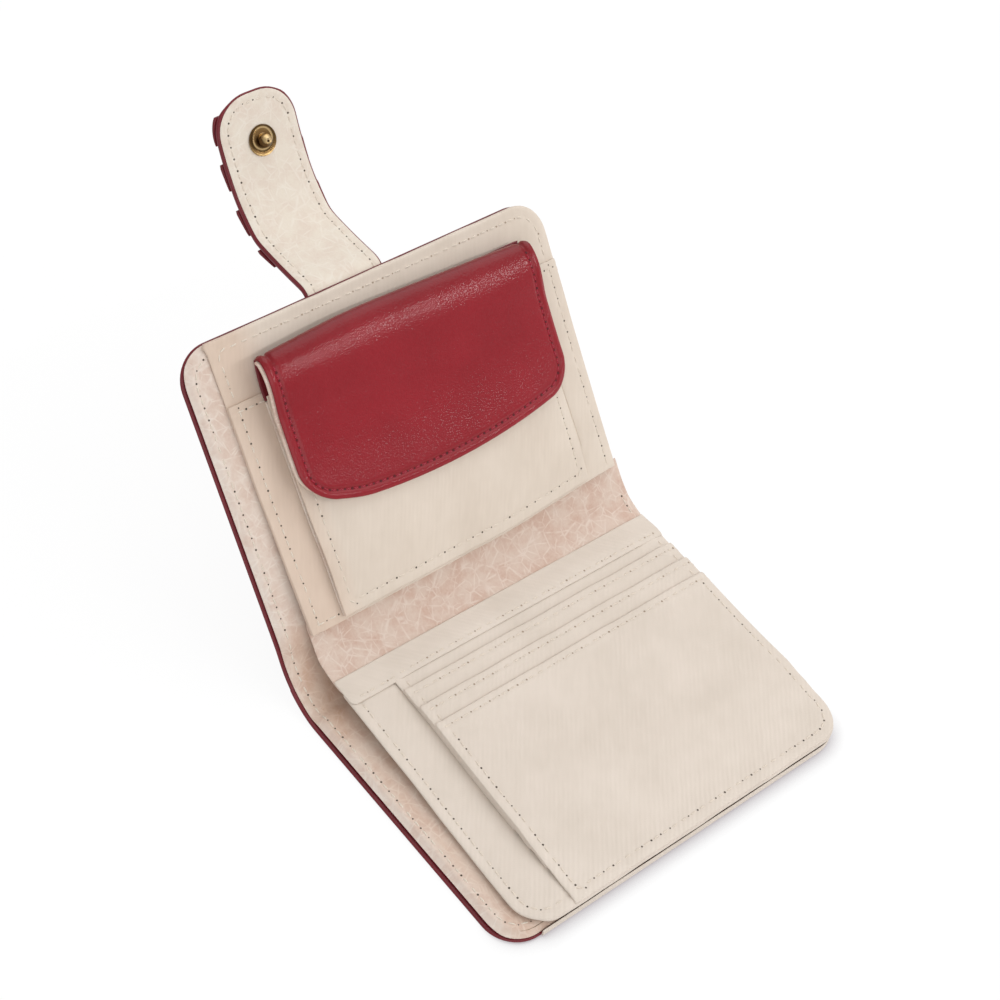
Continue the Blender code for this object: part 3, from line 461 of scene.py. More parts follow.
def snap_look():
    """Antique brass for the stud round its axis: a dark flange with a painted highlight at its rim, and a ring and nub
    lighter as worn brass and as painted highlight.
    """
    look = Look("antique brass stud", metallic=1.0)
    centre = tuple(float(v) for v in strap_place(STUD_S, STRAP_CENTRE, 0.0) * MM)
    turn = float(np.interp(STUD_S, STRAP_S, STRAP_TURN))
    place = look.add("TexCoord").outputs["Object"]
    away = look.vector("SUBTRACT", place, centre)
    radius = look.vector("LENGTH", look.vector("CROSS_PRODUCT", away, (math.sin(turn), 0.0, math.cos(turn))))
    rings = look.add("ValToRGB", {"Fac": look.times(radius, 1.0 / (5.0 * MM))})
    # Colour stops out from the axis: the light nub and ring are worn brass and painted highlight, and the light outer
    # rim is painted highlight.
    steps = (
        (0.0, (250, 226, 178)), (0.2, (222, 190, 136)), (0.3, (96, 72, 44)), (0.50, (112, 86, 52)),
        (0.58, (240, 206, 150)), (0.66, (92, 70, 42)), (0.80, (118, 92, 58)), (0.92, (196, 166, 116)),
    )
    stops = rings.color_ramp.elements
    for index, (at, colour) in enumerate(steps):
        stop = stops[index] if index < 2 else stops.new(at)
        stop.position = at
        stop.color = rgb(*colour)
    cloud = look.noise(place, 1100.0, 4.0, 0.6)
    look.put("Base Color", look.mix(look.shape(cloud, 0.35, 0.75, 0.0, 0.35), rings.outputs[0], (78, 58, 34)))
    look.put("Roughness", look.shape(cloud, 0.3, 0.7, 0.24, 0.42))
    look.bump(look.noise(place, 5000.0, 3.0, 0.6), 0.12, 0.00004)
    return look.material


# The red leather has a painted shade along the flap's fold that has faded by 6.5 mm.
red = leather_look("red leather", (145, 23, 35), (136, 20, 31), (153, 31, 42), 0.34, 0.4, 0.45, 0.45, 6.5)
# Painted shade: a darker copy of the red leather, for the cover, the flap's root, the strap and its bands.
shaded_red = leather_look("wine cover leather", (116, 23, 34), (104, 19, 29), (130, 34, 45), 0.42)
card_weave = weave_look("beige weave", (224, 212, 200), (213, 201, 188), math.radians(-50.8),
                        ribbed=(40.0, 76.0), relief=0.5)
# The coin half's weave takes a warm painted shade along its left edge.
coin_weave = weave_look("beige weave upright", (226, 213, 199), (214, 200, 185), math.radians(68.8),
                        (0.96, 0.88, 0.84, 1.0), relief=0.16, tint=0.2)
lining = lining_look("patterned lining", (221, 205, 192), (212, 189, 174), (232, 221, 210), 6.0, 0.8)
cover_lining = lining_look("cover lining", (223, 208, 196), (214, 192, 178), (233, 223, 213), 6.0, 0.85,
                           (0.80, 0.64, 0.53, 1.0))
strip_lining = lining_look("pink patterned lining", (212, 190, 175), (202, 171, 154), (226, 211, 199),
                           6.0, 0.85)
strap_cloth = lining_look("pale patterned lining", (226, 215, 200), (221, 206, 191), (235, 227, 216),
                          6.5, 0.7)
beige_thread = thread_look("beige thread", (232, 221, 207), (215, 201, 185))
red_thread = thread_look("red thread", (188, 64, 80), (120, 22, 36))
hole_look = plain_look("needle hole", (98, 86, 74), (70, 60, 50), 0.9)
faint_hole = plain_look("faint needle hole", (176, 158, 138), (150, 132, 114), 0.9)
red_hole = plain_look("red needle hole", (102, 12, 24), (82, 9, 18), 0.8)
brass = plain_look("antique brass", (200, 170, 118), (118, 94, 60), 0.34, 1.0, 900.0)
board_look = plain_look("leather board", (170, 150, 128), (140, 120, 98), 0.9)
steel = plain_look("magnet steel", (190, 190, 192), (160, 160, 164), 0.4, 1.0)
# The thread and the needle holes of a row of stitches; each hole is a flat disc painted dark, a painted shade.
BEIGE, FAINT, RED = (beige_thread, hole_look), (beige_thread, faint_hole), (red_thread, red_hole)


# Meshes
def add_object(name, data):
    item = bpy.data.objects.new(name, data)
    bpy.context.scene.collection.objects.link(item)
    return item


def make(name, points, faces, flat, materials, kinds=None, recalc=True):
    """An object from points in millimetres, faces and flat places for the patterns."""
    mesh = bpy.data.meshes.new(name)
    places = (np.asarray(points, float) * MM).tolist()
    mesh.from_pydata(places, [], [tuple(int(i) for i in face) for face in faces])
    layer = mesh.uv_layers.new(name="flat")
    loops = np.empty(len(mesh.loops), np.int64)
    mesh.loops.foreach_get("vertex_index", loops)
    layer.data.foreach_set("uv", (np.asarray(flat, float)[loops] * FLAT_UNIT).astype(np.float32).ravel())
    for material in materials:
        mesh.materials.append(material)
    if kinds is not None:
        mesh.polygons.foreach_set("material_index", np.asarray(kinds, np.int32))
    if recalc:
        bm = bmesh.new()
        bm.from_mesh(mesh)
        bmesh.ops.recalc_face_normals(bm, faces=bm.faces)
        bm.to_mesh(mesh)
        bm.free()
    mesh.shade_smooth()
    mesh.set_sharp_from_angle(angle=math.radians(55.0))
    return add_object(name, mesh)


def axis(start, end, step, fine=()):
    """Grid places from start to end, closer together round each fine place."""
    count = max(int(round((end - start) / step)), 2)
    places = list(np.linspace(start, end, count + 1))
    for centre in fine:
        places += [centre + shift for shift in (-1.3, -0.8, -0.45, 0.0, 0.45, 0.8, 1.3)]
    places = sorted(p for p in places if start <= p <= end)
    kept = [places[0]]
    for place in places[1:]:
        if place - kept[-1] > 0.3:
            kept.append(place)
    kept[-1] = end
    return np.array(kept)


def half_grid(u0, u1, y0, y1, radius=0.0, inset=0.3, fine_u=(), fine_y=(), step=1.2, open_start=False,
              square=False):
    """Flat places over a sheet with round corners at its u1 end; a square sheet rounds only the y1 one."""
    u0 = u0 if open_start else u0 + inset
    u1, y0, y1 = u1 - inset, y0 + inset, y1 - inset
    radius = max(radius - inset, 0.0)
    us = axis(u0, u1 - radius, step, fine_u)
    if radius:
        turn = np.radians(np.linspace(0.0, 90.0, 13)[1:])
        us = np.concatenate([us, u1 - radius + radius * np.sin(turn)])
    over = np.clip(us - (u1 - radius), 0.0, radius)
    shrink = radius - np.sqrt(np.maximum(radius * radius - over * over, 0.0))
    ys = axis(y0, y1, step, fine_y)
    share = (ys - y0) / (y1 - y0)
    flat_u = us[:, None] + 0.0 * share[None, :]
    left = 0.0 * shrink if square else shrink
    flat_y = (y0 + left)[:, None] + share[None, :] * (y1 - y0 - left - shrink)[:, None]
    if not open_start:
        waver = 0.12 * ripple(flat_u, flat_y, 19.0, 43)
        flat_u, flat_y = flat_u + waver, flat_y + 0.8 * waver
    return flat_u, flat_y


def sheet(name, a, b, place, low, high, look, rim=5, flat_ends=(False, False)):
    """A closed sheet over a grid of flat places, with a round rim."""
    rows, columns = a.shape
    count = rows * columns
    index = np.arange(count).reshape(rows, columns)
    quads = np.stack([index[:-1, :-1], index[1:, :-1], index[1:, 1:], index[:-1, 1:]], -1).reshape(-1, 4)
    low_h, high_h = low(a, b), high(a, b)
    loop = np.concatenate([index[0, :-1], index[:-1, -1], index[-1, :0:-1], index[:0:-1, 0]])
    pa, pb = a.ravel()[loop], b.ravel()[loop]
    ta, tb = np.roll(pa, -1) - np.roll(pa, 1), np.roll(pb, -1) - np.roll(pb, 1)
    long = np.hypot(ta, tb) + 1e-9
    area = np.sum(pa * np.roll(pb, -1) - np.roll(pa, -1) * pb)
    side = 1.0 if area > 0 else -1.0
    na, nb = side * tb / long, -side * ta / long
    corner = (loop % columns == 0) | (loop % columns == columns - 1)
    for flat_end, row in zip(flat_ends, (0, rows - 1)):
        if flat_end:
            here = loop // columns == row
            na[here] = 0.0
            nb[here] = np.where(corner[here], np.sign(pb[here] - pb.mean()), 0.0)
    lo, hi = low_h.ravel()[loop], high_h.ravel()[loop]
    points = [place(a, b, high_h).reshape(-1, 3), place(a, b, low_h).reshape(-1, 3)]
    flat = [np.stack([a.ravel(), b.ravel()], -1)] * 2
    faces = [quads, quads[:, ::-1] + count]
    rings = [loop]
    start = 2 * count
    for k in range(1, rim):
        turn = math.pi * k / rim
        radius = (hi - lo) / 2.0
        reach = np.minimum(radius, 0.6)
        qa, qb = pa + na * reach * math.sin(turn), pb + nb * reach * math.sin(turn)
        points.append(place(qa, qb, (hi + lo) / 2.0 + radius * math.cos(turn)))
        flat.append(np.stack([pa + na * reach * turn, pb + nb * reach * turn], -1))
        rings.append(np.arange(start, start + len(loop)))
        start += len(loop)
    rings.append(loop + count)
    for upper, lower in zip(rings, rings[1:]):
        faces.append(np.stack([upper, np.roll(upper, -1), np.roll(lower, -1), lower], -1))
    return make(name, np.concatenate(points), np.concatenate(faces), np.concatenate(flat), [look])


def card_place(u, y, h):
    """A place over the card half: u from the fold, y along the fold and h above its outer face."""
    u, y, h = np.broadcast_arrays(u, y, h)
    return np.stack([FOLD_X + u, y, h], -1)


def coin_place(u, y, h):
    u, y, h = np.broadcast_arrays(u, y, h)
    cos, sin = math.cos(COIN_TILT), math.sin(COIN_TILT)
    return np.stack([COIN_X - u * cos + (h - AXIS) * sin, y, COIN_Z + u * sin + (h - AXIS) * cos], -1)


def length_along(path):
    """The length from the first point of a path to each of its points."""
    return np.concatenate([[0.0], np.cumsum(np.hypot(*np.diff(path, axis=0).T))])


def curve_of(points, blur):
    """Evenly spaced points along a polyline, rounded by a moving average."""
    step = 0.2
    points = np.asarray(points, float)
    along = length_along(points)
    fine = np.arange(0.0, along[-1], step)
    line = np.stack([np.interp(fine, along, points[:, k]) for k in (0, 1)], -1)
    reach = int(blur * 3 / step)
    weight = np.exp(-0.5 * (np.arange(-reach, reach + 1) * step / blur) ** 2)
    weight /= weight.sum()
    padded = np.concatenate([
        line[0] - (line[1] - line[0]) * np.arange(reach, 0, -1)[:, None],
        line,
        line[-1] + (line[-1] - line[-2]) * np.arange(1, reach + 1)[:, None],
    ])
    line = np.stack([np.convolve(padded[:, k], weight, "valid") for k in (0, 1)], -1)
    return fine, line


def beside_curve(before, point, after, h):
    """A point moved h sideways from its curve, given the points just before and after it."""
    along_a, along_b = after[0] - before[0], after[1] - before[1]
    long = np.hypot(along_a, along_b) + 1e-9
    return point[0] + along_b / long * h, point[1] - along_a / long * h


def cover_section():
    """The cover's outer face, from the card half's free edge round the fold to the coin half's edge."""
    points = [(FOLD_X + u, 0.0) for u in np.arange(SECTION_REACH, 0.5, -1.0)]
    cos, sin = math.cos(SPINE_TILT), math.sin(SPINE_TILT)
    for x in np.linspace(-0.8, -SPINE + 0.8, 24):
        z = -BOW * (1.0 - ((x + SPINE / 2) / (SPINE / 2)) ** 2) - AXIS
        points.append((FOLD_X + x * cos + z * sin, AXIS - x * sin + z * cos))
    for u in np.arange(1.0, SECTION_REACH + 1.0, 1.0):
        x, _, z = coin_place(u, 0.0, 0.0)
        points.append((float(x), float(z)))
    along, line = curve_of(points, 1.5)
    return along - SECTION_REACH, line


COVER_S, COVER_LINE = cover_section()
COIN_START = COVER_S[-1] - SECTION_REACH
FOLD_MIDDLE = COIN_START / 2


def cover_place(s, y, h):
    """A place on the cover: s along its section, negative on the card half."""
    s, y, h = np.broadcast_arrays(s, y, h)
    step = 0.4
    far = rise(s, FOLD_MIDDLE, 10.0) * (1.3 - 0.9 * ramp(s, COIN_START, 80.0))
    s = s + far_corner(s - COIN_START, y)
    y = y - far * np.clip((y - 20.0) / 39.0, 0.0, 1.2)
    points = [[np.interp(at, COVER_S, COVER_LINE[:, k]) for k in (0, 1)] for at in (s - step, s, s + step)]
    x, z = beside_curve(*points, h)
    return np.stack([x, y, z], -1)


def outline_distance(u, y, u1, y0, y1, radius, square=False):
    """Distance inwards from a sheet's outline, with round corners at u1 or only the y1 one if it is square."""
    far = np.minimum(np.minimum(u1 - u, y - y0), y1 - y)
    past_u = u - (u1 - radius)
    past_y = y - (y1 - radius)
    if not square:
        past_y = np.maximum(past_y, (y0 + radius) - y)
    corner = radius - np.hypot(np.maximum(past_u, 0.0), np.maximum(past_y, 0.0))
    return np.where((past_u > 0) & (past_y > 0), np.minimum(far, corner), far)


def groove(distance, at, depth=0.16, wide=0.5):
    return -depth * np.exp(-((distance - at) / wide) ** 2)


def cover_edge(s, y):
    """Distance inwards from the cover's edge at s."""
    u = np.where(s < FOLD_MIDDLE, -s, s - COIN_START)
    end = np.where(s < FOLD_MIDDLE, CARD_LENGTH, LENGTH)
    return outline_distance(u, y, end, -HALF, HALF, CORNER)


def from_socket(s, y):
    return np.hypot(-s - SOCKET_U, y - STRAP_CENTRE)


def lining_base(s):
    """Height of the lining's underside over the outer face along the cover."""
    card = (CARD_LINING - LINING_START) * fade(s, -3.5, 6.5)
    coin = (COIN_LINING - LINING_START + 0.05) * rise(s, COIN_START - 3.5, 6.5)
    return LINING_START + card + coin


def lining_low(s, y):
    edge = smooth(cover_edge(s, y) / 3.0)
    base = lining_base(s)
    press = 0.45 * fade(from_socket(s, y), 4.7, 1.2)
    crease = -0.35 * np.exp(-((s - 0.5) / 0.7) ** 2) - 0.35 * np.exp(-((s - COIN_START + 0.5) / 0.7) ** 2)
    return 0.98 + (base - 0.98) * edge + 0.10 * ripple(s, y, 26.0, 3) * edge - press + crease * edge


def lining_high(s, y):
    return lining_low(s, y) + 0.4 + groove(cover_edge(s, y), COVER_SEAM, 0.14)


def dish(s, y):
    """Rise of the outer face in the pressed dish round the snap's socket."""
    return 1.2 * fade(from_socket(s, y), 6.4, 2.4)


def leather_low(s, y):
    edge = cover_edge(s, y)
    soft = 0.04 * ripple(s, y, 34.0, 5) * smooth(edge / 8.0)
    return 0.07 + dish(s, y) + soft - groove(edge, COVER_SEAM, 0.26)


def leather_high(s, y):
    return dish(s, y) + 0.9


def cover_grid(side, inset):
    """Places over one half of the cover, from the fold's middle to its rounded end."""
    seams = (COVER_SEAM - HALF, HALF - COVER_SEAM)
    if side == "card":
        u, y = half_grid(-FOLD_MIDDLE, CARD_LENGTH, -HALF, HALF, CORNER, inset, (), seams, open_start=True)
        return -u, y
    return half_grid(FOLD_MIDDLE, COIN_START + LENGTH, -HALF, HALF, CORNER, inset, (), seams, open_start=True)


def cut(item, a, b, held, *rests_on):
    """Declare a piece of cloth with the size that it was cut to."""
    one = np.stack([a[1:, 1:] - a[:-1, :-1], b[1:, 1:] - b[:-1, :-1]])
    two = np.stack([a[1:, :-1] - a[:-1, 1:], b[1:, :-1] - b[:-1, 1:]])
    area = np.abs(one[0] * two[1] - one[1] * two[0]).sum() / 2.0
    width, length = np.ptp(b), np.ptp(a)
    area = min(area, width * length)
    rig.sheet(item, flat=(width * MM, length * MM), held=held, rests_on=list(rests_on), area=area * MM * MM)


def bore(item, radius):
    """A round hole through a sheet on the axis of the snap's socket."""
    bm = bmesh.new()
    radius = radius * MM
    bmesh.ops.create_cone(bm, cap_ends=True, segments=32, radius1=radius, radius2=radius, depth=0.01)
    mesh = bpy.data.meshes.new("cutter")
    bm.to_mesh(mesh)
    bm.free()
    cutter = add_object("cutter", mesh)
    cutter.location = card_place(SOCKET_U, STRAP_CENTRE, 0.0) * MM
    bpy.context.view_layer.update()
    modifier = item.modifiers.new("bore", "BOOLEAN")
    modifier.operation = "DIFFERENCE"
    modifier.object = cutter
    bored = bpy.data.meshes.new_from_object(item.evaluated_get(bpy.context.evaluated_depsgraph_get()))
    item.modifiers.clear()
    item.data = bored
    bpy.data.objects.remove(cutter)


def cover_piece(kind, side, low, high, look, inset, held=None):
    """One half of a layer of the cover, from its edge to the middle of the fold."""
    a, b = cover_grid(side, inset)
    if held:
        b = b + 0.6 * np.exp(-((b + HALF) / 1.8) ** 2)
    item = sheet(f"cover_{kind}_{side}_side", a, b, cover_place, low, high, look, flat_ends=(True, False))
    if kind == "leather" and side == "card":
        bore(item, 1.9)
    if held:
        cut(item, a, b, held, f"{side}_cover_leather")
    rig.replaces(item, f"{side}_cover_{kind}", f"spine_{kind}")
    return blend_fold(item, side)


def blend_fold(item, side):
    """Blend a piece over 3 mm on each side of one of the fold's two joints."""
    x, z = 3.0 * math.cos(SPINE_TILT), 3.0 * math.sin(SPINE_TILT)
    if side == "card":
        start = (FOLD_X + 3.0) * MM, 0.0, 0.0
        end = (FOLD_X - x) * MM, 0.0, (AXIS + z) * MM
        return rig.blend(item, "card_half", "spine", start, end)
    start = (COIN_X + x) * MM, 0.0, (COIN_Z - z) * MM
    end = (COIN_X - 3.0 * math.cos(COIN_TILT)) * MM, 0.0, (COIN_Z + 3.0 * math.sin(COIN_TILT)) * MM
    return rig.blend(item, "spine", "coin_half", start, end)


# Stitches
def resample(path, pitch):
    """The middles of the stitches along a path, and the length between them."""
    along = length_along(path)
    count = max(int(round(along[-1] / pitch)), 1)
    places = (np.arange(count) + 0.5) * along[-1] / count
    return np.stack([np.interp(places, along, path[:, k]) for k in (0, 1)], -1), along[-1] / count


def stitch_row(name, paths, place, height, materials, seed, thick=THREAD, length=0.62, hole=0.27, kept=0.8,
               pitch=PITCH):
    """Rows of sewn stitches lying on a surface, with a flat disc of painted shade for the needle hole between each
    pair.
    """
    rng = np.random.default_rng(seed)
    points, faces, flat, kinds, start = [], [], [], [], 0
    rings, sides = 7, 6
    q = np.linspace(-1.0, 1.0, rings)
    turn = np.arange(sides) * 2.0 * math.pi / sides
    radius = thick * np.sqrt(np.maximum(1.0 - 0.88 * q ** 2, 0.0))
    lift = 0.10 - 0.20 * q ** 4
    ring = np.arange(8) * math.pi / 4
    for path in paths:
        path = np.asarray(path, float)
        centres, spacing = resample(path, pitch)
        ahead = np.roll(centres, -1, 0) - np.roll(centres, 1, 0)
        if len(centres) > 2:
            ahead[0], ahead[-1] = centres[1] - centres[0], centres[-1] - centres[-2]
        else:
            ahead[:] = path[-1] - path[0]
        ahead /= np.hypot(ahead[:, 0], ahead[:, 1])[:, None]
        for centre, t in zip(centres, ahead):
            n = np.array([-t[1], t[0]])
            lean = t + n * rng.uniform(-0.06, 0.06)
            half = spacing * length / 2 * rng.uniform(0.94, 1.04)
            mid = centre + q[:, None] * half * lean
            across = radius[:, None] * np.cos(turn)[None, :] * 1.15
            up = radius[:, None] * np.sin(turn)[None, :] * 0.8 + lift[:, None]
            a = mid[:, 0, None] + n[0] * across
            b = mid[:, 1, None] + n[1] * across
            base = height(mid[:, 0], mid[:, 1])[:, None]
            points.append(place(a, b, base + up).reshape(-1, 3))
            flat.append(np.stack([a.ravel(), b.ravel()], -1))
            grid = start + np.arange(rings * sides).reshape(rings, sides)
            around = np.roll(grid, -1, 1)
            faces += np.stack([grid[:-1], around[:-1], around[1:], grid[1:]], -1).reshape(-1, 4).tolist()
            faces += [grid[0, ::-1].tolist(), grid[-1].tolist()]
            kinds += [0] * ((rings - 1) * sides + 2)
            start += rings * sides
            size = hole * rng.uniform(0.7, 1.15)
            if rng.uniform() > kept:
                continue
            # A flat disc painted dark stands in for the shade in the needle hole.
            spot = centre + t * spacing / 2
            a = spot[0] + size * np.cos(ring)
            b = spot[1] + size * np.sin(ring)
            points.append(place(a, b, height(a, b) + 0.035))
            flat.append(np.stack([a, b], -1))
            faces.append(list(range(start, start + 8)))
            kinds.append(1)
            start += 8
    return make(name, np.concatenate(points), faces, np.concatenate(flat), materials, kinds, recalc=False)


def side_path(u0, u1, y0, y1, radius, inset, square=False):
    """The seam that follows a sheet's sides and rounded end."""
    radius = max(radius - inset, 0.5)
    u1, y0, y1 = u1 - inset, y0 + inset, y1 - inset
    turn = np.linspace(0.0, math.pi / 2, 9)
    u = u1 - radius
    left = [(u + radius * math.sin(t), y0 + radius - radius * math.cos(t)) for t in turn]
    if square:
        left = [(u1, y0)]
    right = [(u + radius * math.cos(t), y1 - radius + radius * math.sin(t)) for t in turn]
    return [(u0, y0)] + left + right + [(u0, y1)]


def underside(place, low):
    """A place function for a row on a sheet's lower face."""
    return lambda s, y, h: place(s, y, 2.0 * low(s, y) - h)


def raised(low, thick):
    """The upper face of a sheet of even thickness."""
    return lambda u, y: low(u, y) + thick


# Places and heights over each half
def gape(u, y, depth):
    """How far a layer bows up towards the fold, most at the compartment's open side."""
    share = 0.65 + 0.35 * (PANEL_RIGHT - y) / PANEL_WIDTH
    return depth * share * (1.0 - smooth(0.15 + 0.85 * ramp(u, 0.0, 52.0))) / (1.0 - smooth(0.15))


def fall(u, y):
    """1 at the far and right edges of a half, where its layers are sewn together, and 0 inside."""
    edge = outline_distance(u, y, PANEL_END, PANEL_LEFT - 60.0, PANEL_RIGHT, PANEL_CORNER)
    return fade(edge, 0.0, 3.2)


def card_panel_place(u, y, h):
    """The card panel's left edge runs a little outwards towards its end."""
    return card_place(u, y - 1.4 * rise(u, 30.0, 45.0) * np.clip((10.0 - y) / 60.0, 0.0, 1.0), h)


def slot_place(u, y, h):
    """The slots' left edge runs a little inwards towards the fold."""
    return card_place(u, y + 1.3 * fade(u, 20.0, 55.0) * np.clip(-y / 37.7, 0.0, 1.0), h)


def far_corner(u, y):
    """How far the coin half reaches past its length towards its right end."""
    return 0.6 * ramp(y, -30.0, 88.0) * rise(u, 62.0, 18.0)


def lean_place(u, y, h):
    """The coin half's inner layers start further from the fold at their right end and are narrower there."""
    lean = 2.2 * rise(y, 10.0, 48.0) * fade(u, 1.0, 30.0)
    narrow = (0.6 + 2.0 * (1.0 - ramp(u, 0.0, 70.0))) * np.clip((y - 20.0) / 38.8, 0.0, 1.2)
    return coin_place(u + lean + far_corner(u, y), y - narrow, h)


def roll(edge):
    """The folded edge of a panel, a little thicker than the rest."""
    return 0.22 * np.exp(-((edge - 0.9) / 0.7) ** 2)


def card_edge(u, y):
    return outline_distance(u, y, CARD_END, PANEL_LEFT, PANEL_RIGHT, PANEL_CORNER)


def coin_edge(u, y):
    return outline_distance(u, y, PANEL_END, PANEL_LEFT, PANEL_RIGHT, PANEL_CORNER, True)


def card_panel_low(u, y):
    return 4.1 + gape(u, y, CARD_GAPE) - 1.9 * fall(u, y)


def card_panel_high(u, y):
    edge = card_edge(u, y)
    top = 4.75 + gape(u, y, CARD_GAPE) - 0.6 * fall(u, y) + 0.08 * ripple(u, y, 30.0, 7)
    return top + groove(edge, SEAM) + roll(edge)


def slot_base(index, u, y):
    """Height of a slot's underside over the slots that it lies on."""
    layers = sum(fade(u, start + SLOT_DEPTH + 0.3, 6.0) for start in SLOT_STARTS[:index])
    return 4.9 + gape(u, y, CARD_GAPE) + 0.7 * layers - 0.75 * fall(u, y) + 0.08 * ripple(u, y, 30.0, 7)


def mouth_hem(distance):
    """The thicker hem and its seam at a pocket's mouth."""
    return 0.12 * fade(distance, 3.0, 0.8) + groove(distance, MOUTH_SEAM, 0.13, 0.4)


def slot_high(index, u, y):
    edge = outline_distance(u, y, CARD_END, SLOT_LEFT, PANEL_RIGHT, PANEL_CORNER, True)
    hem = mouth_hem(u - SLOT_STARTS[index])
    return slot_base(index, u, y) + 0.5 + hem + groove(edge, SEAM, 0.14) + roll(edge)


def coin_panel_low(u, y):
    return 2.8 + gape(u, y, COIN_GAPE) - 1.2 * fall(u, y)


def coin_panel_high(u, y):
    edge = coin_edge(u, y)
    top = 3.3 + gape(u, y, COIN_GAPE) + 0.08 * ripple(u, y, 30.0, 11) - 0.25 * fall(u, y)
    return top + groove(edge, SEAM) + 0.6 * roll(edge)


def slip_low(u, y):
    return 3.45 + gape(u, y, COIN_GAPE) + 0.08 * ripple(u, y, 30.0, 11) - 0.3 * fall(u, y)


def slip_high(u, y):
    edge = np.minimum(y - PANEL_LEFT, PANEL_RIGHT - y)
    return slip_low(u, y) + 0.5 + groove(edge, SEAM) + mouth_hem(SLIP_TOP - u) + 0.6 * roll(edge)


def pouch_back_low(u, y):
    return 4.15 + gape(u, y, COIN_GAPE)


def dome(y):
    """1 at the pouch's middle and 0 at its sides."""
    across = np.minimum(np.abs(y - POUCH_CENTRE) / POUCH_HALF, 1.0)
    return 1.0 - across ** 4


def pouch_edge(u, y):
    return np.minimum(np.minimum(y - POUCH_LEFT, POUCH_RIGHT - y), u - POUCH_FOOT)


def pouch_front_low(u, y):
    rise = np.sin(0.5 * math.pi * ramp(u, POUCH_FOOT, 36.0))
    edge = 0.2 + 0.7 * ramp(u, POUCH_FOOT, 12.0)
    return pouch_back_low(u, y) + 0.7 + edge + 2.5 * rise * dome(y) + 0.12 * ripple(u, y, 40.0, 13) * dome(y)


def pouch_front_high(u, y):
    return pouch_front_low(u, y) + 0.6 + groove(pouch_edge(u, y), POUCH_SEAM, 0.16)


def flap_root_low(u, y):
    rise = PIVOT_H - 1.4 - pouch_back_low(PIVOT_U, y)
    share = ramp(u, POUCH_MOUTH, PIVOT_U - POUCH_MOUTH)
    return pouch_back_low(u, y) + rise * share * share


def flap_crown(u, y):
    """Height of the flap's middle surface where it lies on the pouch."""
    gap = 0.3 * (2.0 - ramp(u, 28.0, 36.0))
    crown = pouch_back_low(u, y) + 4.7 + gap - 0.875 * (1.0 - dome(y)) + 0.725
    return crown + 1.0 * np.exp(-((u - 60.0) / 11.0) ** 2) * (0.5 + 0.5 * dome(y))


def droop(y):
    """How far the flap's fold sags towards its ends."""
    return 0.5 + 0.3 * smooth((y - POUCH_RIGHT + 14.0) / 14.0) + 0.2 * smooth((POUCH_LEFT + 8.0 - y) / 8.0)


def fold_lean(a, y):
    """How far the flap's fold leans down towards its ends."""
    ends = 2.2 * ramp(y, -8.0, 55.0) ** 1.2 + 1.4 * ramp(-y, 14.0, 26.0) ** 1.2
    return ends * fade(a, FLAP_ARC, 30.0)


def flap_middle(u, y):
    """Height of the flap's middle surface below its fold."""
    crown = flap_crown(u, y)
    long = FLAP_U - FLAP_LOW
    t = np.clip((FLAP_U - u) / long, -0.05, 1.0)
    first = FOLD_H + FOLD_R * math.sin(FLAP_TURN) - droop(y)
    low = FLAP_LOW + 0.0 * u
    last = flap_crown(low, y)
    slope = (flap_crown(low - 0.5, y) - last) / 0.5 * long
    leave = long / math.tan(FLAP_TURN)
    curve = (2 * t ** 3 - 3 * t ** 2 + 1) * first + (t ** 3 - 2 * t ** 2 + t) * leave
    curve = curve + (3 * t ** 2 - 2 * t ** 3) * last + (t ** 3 - t ** 2) * slope
    return np.where(u > FLAP_LOW, curve, crown)


def flap_base(y):
    """The flap's lower edge before its corners are rounded."""
    across = np.minimum(np.abs(y - POUCH_CENTRE) / FLAP_HALF, 1.0)
    return 28.0 + 4.8 * across ** 2 + 2.0 * smooth((POUCH_LEFT + 18.0 - y) / 18.0)


def flap_end(y):
    """The flap's lower edge with its corners rounded."""
    away = np.minimum(np.abs(y - POUCH_CENTRE), FLAP_HALF)
    past = np.clip(away - (FLAP_HALF - FLAP_CORNER), 0.0, FLAP_CORNER)
    return flap_base(y) + FLAP_CORNER - np.sqrt(np.maximum(FLAP_CORNER ** 2 - past ** 2, 0.0))


def flap_place(a, y, h):
    """A place on the flap: a is the length along it from its hinge."""
    a, y, h = np.broadcast_arrays(a, y, h)
    turn = np.clip(a, -2.0, FLAP_ARC) / FOLD_R - FLAP_BACK
    flat = a > FLAP_ARC
    u = np.where(flat, FLAP_U - (a - FLAP_ARC), FOLD_U + FOLD_R * np.cos(turn))
    middle = np.where(flat, flap_middle(u, y), FOLD_H + FOLD_R * np.sin(turn) - droop(y))
    slope = (flap_middle(u + 0.2, y) - flap_middle(u - 0.2, y)) / 0.4
    nu = np.where(flat, -slope / np.hypot(slope, 1.0), np.cos(turn))
    nh = np.where(flat, 1.0 / np.hypot(slope, 1.0), np.sin(turn))
    return coin_place(u + nu * h - fold_lean(a, y), y, middle + nh * h)


